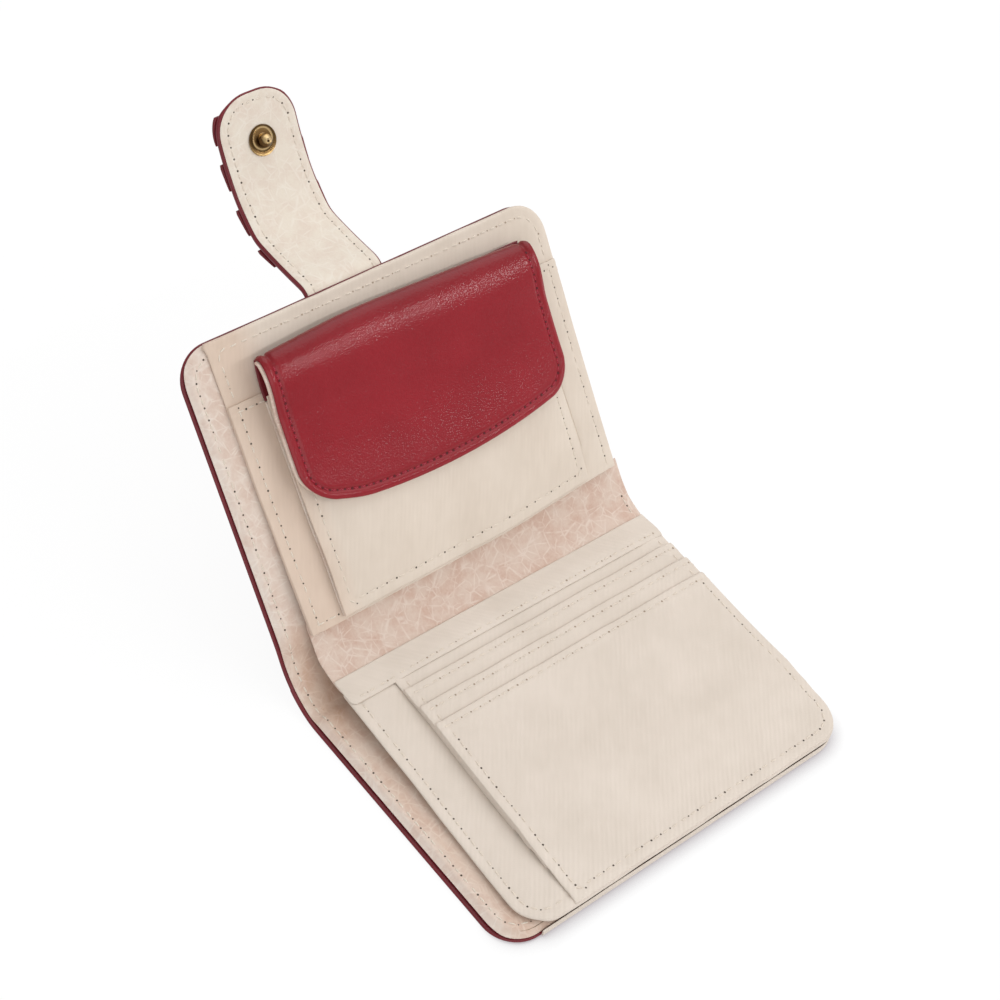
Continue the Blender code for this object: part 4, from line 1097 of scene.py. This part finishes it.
def flap_grid(inset, start=0.0, wide=0.0):
    """Places over the flap, with fine rows at its fold and its lower edge; wide adds to its left side."""
    half = FLAP_HALF - inset
    turn = np.radians(np.linspace(0.0, 90.0, 28)[1:])
    corner = half - FLAP_CORNER
    right = np.concatenate([axis(0.0, corner, 1.1), corner + FLAP_CORNER * np.sin(turn)])
    ys = POUCH_CENTRE + np.concatenate([-right[:0:-1], right])
    end = flap_end(POUCH_CENTRE + (ys - POUCH_CENTRE) * FLAP_HALF / half) + inset
    ys = np.where(ys < POUCH_CENTRE, POUCH_CENTRE + (ys - POUCH_CENTRE) * (half + wide) / half, ys)
    total = FLAP_ARC + FLAP_U - end
    share = np.concatenate([
        np.linspace(0.0, 0.12, 12), np.linspace(0.12, 0.90, 34)[1:], np.linspace(0.90, 1.0, 17)[1:],
    ])
    a = start + share[:, None] * (total - start)[None, :]
    return a, ys[None, :] + 0.0 * a


def flap_distance(a, y):
    """Distance inwards from the flap's sides and lower edge."""
    u = FLAP_U - (a - FLAP_ARC)
    side = FLAP_HALF - np.abs(y - POUCH_CENTRE)
    down = u - flap_base(y)
    past_side, past_down = FLAP_CORNER - side, FLAP_CORNER - down
    corner = FLAP_CORNER - np.hypot(np.maximum(past_side, 0.0), np.maximum(past_down, 0.0))
    return np.where((past_side > 0.0) & (past_down > 0.0), corner, np.minimum(side, down))


def flap_high(a, y):
    edge = flap_distance(a, y)
    seam = groove(edge, FLAP_SEAM, 0.5, 0.6)
    soft = 0.10 * ripple(a, y, 34.0, 17) * smooth(edge / 8.0)
    return 0.725 + seam + soft + 0.5 * roll(edge) - 0.25 * fade(edge, 0.0, 1.4)


# Section of the strap
def strap_section():
    """The strap's middle line: x, z and heading along it."""
    step, start = 0.1, -30.0
    s = np.arange(start, STRAP_LENGTH + 12.0, step)
    degrees = np.select(
        [s < 0.0, s < STRAP_MID, s < STRAP_TIP],
        [math.degrees(COIN_TILT), -4.0 + 8.0 * s / STRAP_MID, 31.0 + (s - STRAP_MID)],
        47.25 + 22.0 * (s - STRAP_TIP) / (STRAP_LENGTH - STRAP_TIP),
    )
    weight = np.exp(-0.5 * (np.arange(-60, 61) * step / 1.5) ** 2)
    heading = np.radians(np.convolve(np.pad(degrees, 60, "edge"), weight / weight.sum(), "valid"))
    x = np.cumsum(-np.cos(heading)) * step
    z = np.cumsum(np.sin(heading)) * step
    zero = int(round(-start / step))
    return s, x - x[zero] + STRAP_X0, z - z[zero] + STRAP_Z0, heading


STRAP_S, STRAP_X, STRAP_Z, STRAP_TURN = strap_section()


def strap_place(s, y, h):
    s, y, h = np.broadcast_arrays(s, y, h)
    turn = np.interp(s, STRAP_S, STRAP_TURN)
    x = np.interp(s, STRAP_S, STRAP_X) + np.sin(turn) * h
    z = np.interp(s, STRAP_S, STRAP_Z) + np.cos(turn) * h
    return np.stack([x, y, z], -1)


def strap_edge(s, y):
    return outline_distance(s, y, NOSE, *STRAP_SIDES, NOSE_RADIUS)


def strap_grid(start, end, inset):
    seams = (STRAP_SIDES[0] + SEAM, STRAP_SIDES[1] - SEAM)
    radius = NOSE_RADIUS if end >= NOSE else 0.0
    end = end if end >= NOSE else end + inset
    return half_grid(start, end, *STRAP_SIDES, radius, inset, (), seams, 1.0, True)


def strap_blend(item, index):
    """Blend a piece over 3.5 mm on each side of the strap's joint of that number."""
    bodies = ("coin_half", "strap_root", "strap_mid", "strap_tip")
    at = (0.0, STRAP_MID, STRAP_TIP)[index]
    start, end = strap_place(at - 3.5, STRAP_CENTRE, 0.0) * MM, strap_place(at + 3.5, STRAP_CENTRE, 0.0) * MM
    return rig.blend(item, *bodies[index:index + 2], tuple(start), tuple(end))


def strap_leather_low(s, y):
    edge = strap_edge(s, y)
    thin = rise(s, 53.5, 4.0)
    turned = 0.55 * (1.0 - thin) * rise(s, -5.0, 8.0)
    return -0.75 + 0.4 * thin - turned * fade(edge, 1.6, 1.6)


def strap_lining_high(s, y):
    edge = strap_edge(s, y)
    return 0.56 + groove(edge, SEAM, 0.14) - 0.2 * fade(edge, 0.0, 1.8) + 0.04 * ripple(s, y, 18.0, 19)


def band_low(end, s, y):
    """Each band lies steeper towards its end nearest the strap's tip."""
    return -1.75 - 0.6 * np.clip((s - (end - BAND)) / BAND, 0.0, 1.0)


# Covers
for side, inset in (("card", 0.4), ("coin", 0.52)):
    cover_piece("leather", side, leather_low, leather_high, shaded_red, inset)
for side in ("card", "coin"):
    cover_piece("lining", side, lining_low, lining_high, cover_lining, 0.62, "laid")
round_edge = (-HALF, HALF, CORNER, COVER_SEAM)
card_seam = [(-u, y) for u, y in side_path(-FOLD_MIDDLE, CARD_LENGTH, *round_edge)]
coin_seam = [(u + COIN_START, y) for u, y in side_path(FOLD_MIDDLE - COIN_START, LENGTH, *round_edge)]
cover_seams = (("card", card_seam), ("coin", coin_seam))
for seed, (side, seam) in enumerate(cover_seams, 2):
    row = stitch_row(f"cover_stitches_{side}_side", [seam[:11]], cover_place, lining_high, BEIGE, seed)
    blend_fold(row, side)
for seed, (side, seam) in enumerate(cover_seams, 4):
    outside = underside(cover_place, leather_low)
    blend_fold(stitch_row(f"cover_outer_stitches_{side}_side", [seam], outside, leather_low, RED, seed), side)


# Card half
def layer(name, node, grid, place, low, high, look, body, *rests_on):
    """A sheet inside a half, laid as cloth if it says what it rests on."""
    item = sheet(name, *grid, place, low, high, look)
    if rests_on:
        cut(item, *grid, "laid", *rests_on)
    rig.replaces(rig.ride(item, body), node)


grid = half_grid(PANEL_START, CARD_END, PANEL_LEFT, PANEL_RIGHT, PANEL_CORNER,
                 fine_y=(PANEL_LEFT + 1.0, PANEL_LEFT + SEAM, SLOT_LEFT, PANEL_RIGHT - SEAM))
layer("card_panel_cloth", "card_panel", grid, card_panel_place, card_panel_low, card_panel_high, card_weave,
      "card_half")

for index, start in enumerate(SLOT_STARTS):
    number = index + 1
    front = number == len(SLOT_STARTS)
    grid = half_grid(start, CARD_END if front else start + SLOT_DEPTH, SLOT_LEFT, PANEL_RIGHT,
                     PANEL_CORNER if front else 0.0, 0.28, (start + MOUTH_SEAM,),
                     (SLOT_LEFT + 1.0, SLOT_LEFT + SEAM, PANEL_RIGHT - SEAM), square=front)
    low, high = partial(slot_base, index), partial(slot_high, index)
    layer(f"card_slot_cloth_{number}", f"card_slot_{number}", grid, slot_place, low, high, card_weave,
          "card_half")
    if index:
        mouth = [[(start + MOUTH_SEAM, SLOT_LEFT + 1.0), (start + MOUTH_SEAM, PANEL_RIGHT - 1.0)]]
        row = stitch_row(f"slot_mouth_stitches_{number}", mouth, slot_place, high, FAINT, 60 + index,
                         FINE_THREAD, kept=0.7)
        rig.ride(row, "card_half")
    if front:
        seams = [side_path(start + 3.5, CARD_END, SLOT_LEFT, PANEL_RIGHT, PANEL_CORNER, SEAM, True)]
    else:
        seams = [[(start + 3.5, y), (start + 6.5, y)] for y in (SLOT_LEFT + SEAM, PANEL_RIGHT - SEAM)]
    row = stitch_row(f"card_slot_stitches_{number}", seams, slot_place, high, BEIGE, 10 + index)
    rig.ride(row, "card_half")

seam = side_path(PANEL_START + 4.0, CARD_END, PANEL_LEFT, PANEL_RIGHT, PANEL_CORNER, SEAM)
seam = [p for p in seam if p[1] < SLOT_LEFT] + [(CARD_END - SEAM, SLOT_LEFT - 0.5)]
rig.ride(stitch_row("card_panel_stitches", [seam], card_panel_place, card_panel_high, BEIGE, 20), "card_half")


def edge_path():
    """The card half's outline where the panel's edge is turned down over the leather."""
    end, side, radius = CARD_LENGTH + 0.12, HALF - 0.3, CORNER - 0.3
    turn = np.radians(np.linspace(0.0, 90.0, 13))
    path = [(end, y) for y in np.linspace(PANEL_LEFT + 2.0, side - radius, 60)]
    path += [(end - radius + radius * math.cos(t), side - radius + radius * math.sin(t)) for t in turn[1:]]
    path += [(u, side) for u in np.linspace(end - radius, 12.0, 45)[1:]]
    return np.array(path)


EDGE_PATH = edge_path()
EDGE_ALONG = length_along(EDGE_PATH)
EDGE_FOOT, EDGE_HEIGHT = 0.45, 1.9


def edge_place(p, q, h):
    """A place on the turned edge: p along the outline, q up it and h outwards."""
    p, q, h = np.broadcast_arrays(p, q, h)
    points = [[np.interp(at, EDGE_ALONG, EDGE_PATH[:, k]) for k in (0, 1)] for at in (p - 0.5, p, p + 0.5)]
    u, y = beside_curve(*points, h)
    height = EDGE_HEIGHT + 0.12 * ripple(p, 0.0 * p, 17.0, 71)
    return card_place(u, y, EDGE_FOOT + height * q)


a, b = np.meshgrid(axis(0.0, EDGE_ALONG[-1], 1.2), np.linspace(0.0, 1.0, 6), indexing="ij")
turned = sheet("card_panel_turned_edge", a, b, edge_place, level(0.0),
               lambda p, q: 0.34 + 0.05 * np.sin(3.0 * q), card_weave, rim=3)
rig.slot(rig.ride(turned, "card_half"), "beige_weave")


# Fold strip between the two inner panels
def hem_line(y):
    """Section of the beige hem and pink strip at y, from under the first slot to under the coin panel."""
    card_top = float(card_panel_high(np.array(2.4), np.array(y)))
    over = 0.78 * float(smooth((y - SLOT_LEFT + 0.5) / 2.0))
    coin_low = float(coin_panel_low(np.array(2.6), np.array(y)))
    last = coin_place(4.6, y, coin_low - 0.25)
    rim = coin_place(-0.4, y, coin_low - 0.35)
    return [
        (FOLD_X + 5.6, card_top + 0.06 + over),
        (FOLD_X + 2.6, card_top + 0.22 + over),
        (FOLD_X + 0.5, card_top + 0.40 + 0.5 * over),
        (FOLD_X - 2.7, card_top + 0.35),
        (FOLD_X - 5.2, card_top + 1.0),
        (FOLD_X - 9.5, 0.5 * (card_top + 1.0) + 0.5 * float(rim[2]) - 1.6),
        (float(rim[0]) + 1.2, float(rim[2]) - 1.2),
        (float(last[0]), float(last[2])),
    ]


STRIP_Y = np.linspace(PANEL_LEFT, PANEL_RIGHT, 12)
STRIP_CURVES = [curve_of(hem_line(y), 1.3) for y in STRIP_Y]
STRIP_TOTAL = min(along[-1] for along, _ in STRIP_CURVES)
STRIP_SAMPLES = np.linspace(0.0, 1.0, 160)
STRIP_GRID = np.array([
    [np.interp(STRIP_SAMPLES * along[-1], along, line[:, k]) for k in (0, 1)] for along, line in STRIP_CURVES
])
# Where the hem and the card side's part of the strip end, along the section
HEM_END, STRIP_MIDDLE = 8.6, 15.7


def strip_point(t, y):
    """x and z of the strip at the share t of its length."""
    row = np.clip((y - PANEL_LEFT) / PANEL_WIDTH, 0.0, 1.0) * (len(STRIP_Y) - 1)
    lower = np.clip(np.floor(row).astype(int), 0, len(STRIP_Y) - 2)
    part = row - lower
    column = np.clip(t, 0.0, 1.0) * (len(STRIP_SAMPLES) - 1)
    left = np.clip(np.floor(column).astype(int), 0, len(STRIP_SAMPLES) - 2)
    across = column - left
    out = []
    for k in (0, 1):
        grid = STRIP_GRID[:, k, :]
        rows = [grid[n, left] * (1 - across) + grid[n, left + 1] * across for n in (lower, lower + 1)]
        out.append(rows[0] * (1 - part) + rows[1] * part)
    return out


def strip_place(a, y, h):
    a, y, h = np.broadcast_arrays(a, y, h)
    t = a / STRIP_TOTAL
    x, z = beside_curve(*(strip_point(at, y) for at in (t - 0.02, t, t + 0.02)), h)
    return np.stack([x, y, z], -1)


def fold_grid(a0, a1, inset, step):
    rows, columns = axis(a0, a1, step), axis(PANEL_LEFT + inset, PANEL_RIGHT - inset, 1.2)
    return np.meshgrid(rows, columns, indexing="ij")


def strip_low(a, y):
    return -0.55 + 0.18 * ripple(a, y, 16.0, 23)


def strip_high(a, y):
    return -0.12 + 0.18 * ripple(a, y, 16.0, 23)


def hem_high(s, y):
    return 0.16 + 0.3 * smooth(s / 1.4) + groove(s, 1.5, 0.1, 0.35)


a, b = fold_grid(0.25, HEM_END - 0.25, 0.25, 0.5)
rounding = 2.0 - np.sqrt(np.maximum(4.0 - np.clip(2.0 - a, 0.0, 2.0) ** 2, 0.0))
b = b + rounding * (PANEL_RIGHT - b) / PANEL_WIDTH
hem = sheet("panel_hem", a, b, strip_place, level(-0.1), hem_high, card_weave)
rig.slot(blend_fold(hem, "card"), "beige_weave")
row = [[(1.5, PANEL_LEFT + 2.5), (1.5, PANEL_RIGHT - 2.5)]]
hem_row = stitch_row("panel_hem_stitches", row, strip_place, hem_high, FAINT, 22, FINE_THREAD, kept=0.7)
blend_fold(hem_row, "card")
for side, start, end in (("card", HEM_END - 3.2, STRIP_MIDDLE), ("coin", STRIP_MIDDLE, STRIP_TOTAL - 0.2)):
    grid = fold_grid(start, end, 0.2, 0.8)
    strip = sheet(f"fold_strip_{side}_side", *grid, strip_place, strip_low, strip_high, strip_lining,
                  flat_ends=(side == "coin", side == "card"))
    cut(strip, *grid, "hung", "card_panel", "coin_panel")
    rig.replaces(blend_fold(strip, side), "inner_spine_strip")
row = [[(HEM_END + 1.0, PANEL_RIGHT - 2.4), (STRIP_MIDDLE, PANEL_RIGHT - 2.4)]]
blend_fold(stitch_row("fold_strip_stitches", row, strip_place, strip_high, BEIGE, 24, 0.17), "card")


# Coin half
def coin_layer(name, node, grid, low, high, look, *rests_on):
    layer(name, node, grid, lean_place, low, high, look, "coin_half", *rests_on)


def coin_stitches(name, seams, height, looks, seed, **settings):
    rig.ride(stitch_row(name, seams, lean_place, height, looks, seed, **settings), "coin_half")


sides = (PANEL_LEFT + SEAM, PANEL_RIGHT - SEAM)
grid = half_grid(PANEL_START, COIN_END, PANEL_LEFT, PANEL_RIGHT, PANEL_CORNER, 0.25, (), sides, square=True)
coin_layer("coin_panel_cloth", "coin_panel", grid, coin_panel_low, coin_panel_high, coin_weave)
grid = half_grid(PANEL_START, SLIP_TOP, PANEL_LEFT, PANEL_RIGHT, 0.0, 0.25, (SLIP_TOP - MOUTH_SEAM,), sides)
coin_layer("slip_pocket_cloth", "slip_pocket", grid, slip_low, slip_high, coin_weave)
seams = [side_path(SLIP_TOP + 1.0, COIN_END, PANEL_LEFT, PANEL_RIGHT, PANEL_CORNER, SEAM, True)]
coin_stitches("coin_panel_stitches", seams, coin_panel_high, FAINT, 30, kept=0.6)
seams = [[(PANEL_START + 1.0, y), (SLIP_TOP - 1.0, y)] for y in sides]
seams += [
    [(SLIP_TOP - MOUTH_SEAM, PANEL_LEFT + 1.5), (SLIP_TOP - MOUTH_SEAM, PANEL_RIGHT - 1.5)],
    [(PANEL_START + 2.2, PANEL_LEFT + 1.5), (PANEL_START + 2.2, POUCH_LEFT - 1.0)],
]
coin_stitches("slip_pocket_stitches", seams, slip_high, BEIGE, 31)

grid = half_grid(POUCH_FOOT, 62.4, POUCH_LEFT, POUCH_RIGHT)
coin_layer("pouch_back_cloth", "pouch_back", grid, pouch_back_low, raised(pouch_back_low, 0.55), lining,
           "slip_pocket")
grid = half_grid(62.5, 73.5, POUCH_LEFT, POUCH_RIGHT, step=0.9)
# The flap's root takes the darker leather as painted shade.
coin_layer("flap_root_leather", "flap_root", grid, flap_root_low, raised(flap_root_low, 0.7), shaded_red)
left, right = POUCH_LEFT + POUCH_SEAM, POUCH_RIGHT - POUCH_SEAM
foot, top = POUCH_FOOT + POUCH_SEAM, POUCH_MOUTH - 2.0
grid = half_grid(POUCH_FOOT, POUCH_MOUTH, POUCH_LEFT, POUCH_RIGHT, 0.0, 0.3, (foot,), (left, right))
coin_layer("pouch_front_cloth", "pouch_front", grid, pouch_front_low, pouch_front_high, coin_weave)
seams = [[(top, left), (foot, left), (foot, right), (top, right)]]
coin_stitches("pouch_front_stitches", seams, pouch_front_high, BEIGE, 33)


def gusset(name, y_edge, inward, node):
    """A folded side wall between the pouch's back and front."""
    def place(u, q, h):
        u, q, h = np.broadcast_arrays(u, q, h)
        low = pouch_back_low(u, np.full(u.shape, y_edge)) + 0.7
        high = pouch_front_low(u, np.full(u.shape, y_edge + inward * 1.2))
        fold = 4.5 * np.sin(math.pi * np.clip(q, 0.0, 1.0))
        return coin_place(u, y_edge + inward * (0.6 + fold + h), low + (high - low) * q)
    grid = np.meshgrid(axis(14.0, POUCH_MOUTH - 0.8, 1.2), np.linspace(0.0, 1.0, 15), indexing="ij")
    item = sheet(name, *grid, place, level(0.0), level(0.35), coin_weave, rim=3)
    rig.replaces(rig.ride(item, "coin_half"), node)


gusset("pouch_side_left", POUCH_LEFT, 1.0, "pouch_gusset_left")
gusset("pouch_side_right", POUCH_RIGHT, -1.0, "pouch_gusset_right")


def side_wall(name, place, panel_low, body):
    """The lining turned up at the right edge to close a note compartment."""
    def wall(u, q, h):
        u, q, h = np.broadcast_arrays(u, q, h)
        bottom, top = 1.3, panel_low(u, np.full(u.shape, PANEL_RIGHT)) + 0.1
        return place(u, 57.9 + 0.35 * np.sin(math.pi * np.clip(q, 0.0, 1.0)) + h, bottom + (top - bottom) * q)
    grid = np.meshgrid(axis(3.0, LENGTH - CORNER, 1.5), np.linspace(0.0, 1.0, 7), indexing="ij")
    item = sheet(name, *grid, wall, level(0.0), level(0.4), lining, rim=3)
    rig.slot(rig.ride(item, body), "patterned_lining")


side_wall("card_side_wall", card_place, card_panel_low, "card_half")
side_wall("coin_side_wall", lean_place, coin_panel_low, "coin_half")


# Flap
def flap_under(s, y):
    return -0.68 - 0.3 * smooth((POUCH_LEFT + 3.0 - y) / 2.5)


layer("flap_red_leather", "flap_leather", flap_grid(0.45), flap_place, level(-0.15), flap_high, red,
      "coin_flap")
layer("flap_lining_cloth", "flap_lining", flap_grid(1.2, 0.6, 1.45), flap_place, flap_under, level(-0.17),
      strip_lining, "coin_flap", "flap_red_leather")


def flap_seam():
    """The seam down the flap's sides and along its curved lower edge."""
    side, radius = FLAP_HALF - FLAP_SEAM, FLAP_CORNER - FLAP_SEAM

    def corner(sign, turn):
        y = POUCH_CENTRE + sign * (side - radius * (1.0 - math.cos(turn)))
        return FLAP_ARC + FLAP_U - (float(flap_base(y)) + FLAP_CORNER - radius * math.sin(turn)), y

    points = [corner(-1.0, turn) for turn in np.linspace(0.0, math.pi / 2, 10)]
    reach = FLAP_HALF - FLAP_CORNER
    for y in np.linspace(POUCH_CENTRE - reach, POUCH_CENTRE + reach, 24)[1:-1]:
        points.append((FLAP_ARC + FLAP_U - float(flap_base(y)) - FLAP_SEAM, y))
    points += [corner(1.0, turn) for turn in np.linspace(math.pi / 2, 0.0, 10)]
    top = FLAP_ARC + 1.0
    return [(top, POUCH_CENTRE - side)] + points + [(top, POUCH_CENTRE + side)]


row = stitch_row("flap_stitches", [flap_seam()], flap_place, flap_high, RED, 40, 0.23, 0.66, 0.36, 1.0, 2.15)
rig.ride(row, "coin_flap")


# Strap
STRAP_PARTS = (("anchor", -22.0, 10.75), ("middle", 10.75, 27.1), ("tip", 27.1, NOSE))
STRAP_NODES = ("strap_anchor", "strap_root_leather", "strap_mid_leather", "strap_tip_leather")
for index, (name, start, end) in enumerate(STRAP_PARTS):
    last = name == "tip"
    nodes = STRAP_NODES[index:index + 2]
    leather = sheet(f"strap_leather_{name}", *strap_grid(start, end, 0.42), strap_place, strap_leather_low,
                    level(0.2), shaded_red, flat_ends=(index > 0, not last))
    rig.replaces(strap_blend(leather, index), *nodes)
    low = max(start, LINING_FOOT)
    grid = strap_grid(low, end, 0.62)
    cloth = sheet(f"strap_lining_{name}", *grid, strap_place, level(0.22), strap_lining_high, strap_cloth,
                  flat_ends=(True, not last))
    cut(cloth, *grid, "laid", leather.name)
    nodes = [node.replace("leather", "lining") for node in nodes if "leather" in node]
    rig.replaces(strap_blend(cloth, index), *nodes)
    seams = [[(low, y), (end, y)] for y in (STRAP_SIDES[0] + SEAM, STRAP_SIDES[1] - SEAM)]
    if last:
        seams = [side_path(start, NOSE, *STRAP_SIDES, NOSE_RADIUS, SEAM)]
    row = stitch_row(f"strap_stitches_{name}", seams, strap_place, strap_lining_high, BEIGE, 50 + index,
                     FINE_THREAD)
    strap_blend(row, index)

left, right = STRAP_SIDES[0] + 2.6, STRAP_SIDES[1] - 2.6
box = [(-5.0, left), (-19.5, left), (-19.5, right), (-5.0, right), (-5.0, left)]
outside = underside(strap_place, strap_leather_low)
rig.ride(stitch_row("strap_anchor_stitches", [box], outside, strap_leather_low, RED, 56), "coin_half")

BANDS = ((19.0, "strap_root", 4), (30.0, "strap_mid", 3), (42.0, "strap_tip", 2), (54.0, "strap_tip", 1))
for end, body, number in BANDS:
    rows = np.linspace(end - BAND, end, 12)
    past = np.clip(rows - (NOSE - NOSE_RADIUS), 0.0, NOSE_RADIUS)
    reach = STRAP_HALF - NOSE_RADIUS + np.sqrt(NOSE_RADIUS ** 2 - past ** 2) + 0.15
    across = np.linspace(-1.0, 1.0, 30)[None, :]
    proud = 0.5 if number > 1 else 0.0
    a = rows[:, None] + 0.0 * across
    b = STRAP_CENTRE + reach[:, None] * across + proud * np.maximum(across, 0.0) ** 6
    layer(f"strap_band_leather_{number}", f"strap_band_{number}", (a, b), strap_place, partial(band_low, end),
          level(-1.34), shaded_red, body)


# Materials of the stiff parts
STIFF = (
    (board_look, ("card_cover_board", "coin_cover_board", "card_panel_backing")),
    (brass, ("card_snap_socket", "card_snap_eyelet", "snap_rivet")),
    (snap_look(), ("snap_stud",)),
    (steel, ("pouch_magnet", "flap_magnet")),
)
for look, nodes in STIFF:
    for node in nodes:
        for slot in frame["nodes"][node].material_slots:
            slot.material = look


# Camera at the photograph's view
camera_data = bpy.data.cameras.new("photo camera")
camera_data.sensor_width = 36.0
camera_data.lens = 2193.705 * camera_data.sensor_width / 1000.0
camera_data.clip_start = 0.01
camera_data.clip_end = 20.0
camera = add_object("photo camera", camera_data)
right = (0.6257174, 0.7663501, 0.1455514)
up = (-0.6443437, 0.4026145, 0.6501714)
back = (0.4396578, -0.5006087, 0.7457157)
place = (0.2000, -0.2813, 0.4672)
camera.matrix_world = Matrix((*zip(right, up, back, place), (0.0, 0.0, 0.0, 1.0)))
bpy.context.scene.camera = camera


# Floor, lights and world
def floor():
    """A pale floor that shows white, keeps the object's shadow and has a painted close shadow at the card half's free
    edge.
    """
    mesh = bpy.data.meshes.new("floor")
    size, z = 3.0, -0.0002
    corners = [(-size, -size, z), (size, -size, z), (size, size, z), (-size, size, z)]
    mesh.from_pydata(corners, [], [(0, 1, 2, 3)])
    material = bpy.data.materials.new("floor")
    nodes = Nodes(material)
    nodes.tree.nodes.clear()
    diffuse = nodes.add("BsdfDiffuse", {"Color": (0.9, 0.9, 0.9, 1.0)})
    # Painted shadow: ambient occlusion darkens the white along the card half's free edge, for the close shadow that
    # the light from behind leaves there
    near = nodes.add("AmbientOcclusion", {"Distance": 0.005}, samples=8)
    side = nodes.shape(nodes.part(nodes.add("TexCoord").outputs["Object"], "X"), 0.028, 0.038)
    dark = nodes.shape(near.outputs["AO"], 0.45, 0.97, 1.0, 0.0)
    tone = nodes.mix(nodes.times(dark, side), WHITE, (0.50, 0.46, 0.48, 1.0))
    white = nodes.add("Emission", {"Color": tone, "Strength": 1.02})
    path = nodes.add("LightPath")
    seen = nodes.maths("MAXIMUM", path.outputs["Is Camera Ray"], path.outputs["Is Glossy Ray"])
    share = nodes.times(seen, 0.9)
    both = nodes.add("MixShader", {0: share, 1: diffuse.outputs[0], 2: white.outputs[0]})
    nodes.add("OutputMaterial", {"Surface": both.outputs[0]})
    mesh.materials.append(material)
    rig.stage(add_object("floor", mesh))


def lamp(name, shape, power, size):
    data = bpy.data.lights.new(name, "AREA")
    data.shape = shape
    data.energy = power
    data.size, data.size_y = size
    return add_object(name, data)


def round_lamp(name, place, size, power):
    item = lamp(name, "DISK", power, (size, size))
    item.location = place
    aim = np.array([-0.04, 0.0, 0.03]) - np.array(place)
    item.rotation_euler = Vector(aim).to_track_quat("-Z", "Y").to_euler()


def strip_lamp():
    """A long narrow lamp along the fold, for the line of light below the flap's fold."""
    back = Vector((0.65, 0.49, 0.58)).normalized()
    across = Vector((0.0, 1.0, 0.0)).cross(back).normalized()
    place = Vector((-0.11, 0.0, 0.07)) + back
    item = lamp("strip", "RECTANGLE", 2.6, (0.035, 1.0))
    item.matrix_world = Matrix((*zip(across, back.cross(across), back, place), (0.0, 0.0, 0.0, 1.0)))


def studio():
    world = bpy.data.worlds.new("studio")
    bpy.context.scene.world = world
    nodes = Nodes(world)
    nodes.tree.nodes.clear()
    soft, seen = (nodes.add("Background", {"Color": WHITE, "Strength": strength}) for strength in (0.56, 1.0))
    path = nodes.add("LightPath").outputs["Is Camera Ray"]
    both = nodes.add("MixShader", {0: path, 1: soft.outputs[0], 2: seen.outputs[0]})
    nodes.add("OutputWorld", {"Surface": both.outputs[0]})


floor()
round_lamp("key", (-0.45, 0.55, 1.1), 1.6, 7.0)
round_lamp("fill", (0.9, -0.7, 0.8), 1.2, 4.1)
strip_lamp()
studio()
bpy.context.scene.view_settings.view_transform = "Standard"

with open("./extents.json", "w") as out:
    json.dump({"cad": [list(corner) for corner in cad_box], "visual": [list(corner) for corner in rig.bounds()]}, out)
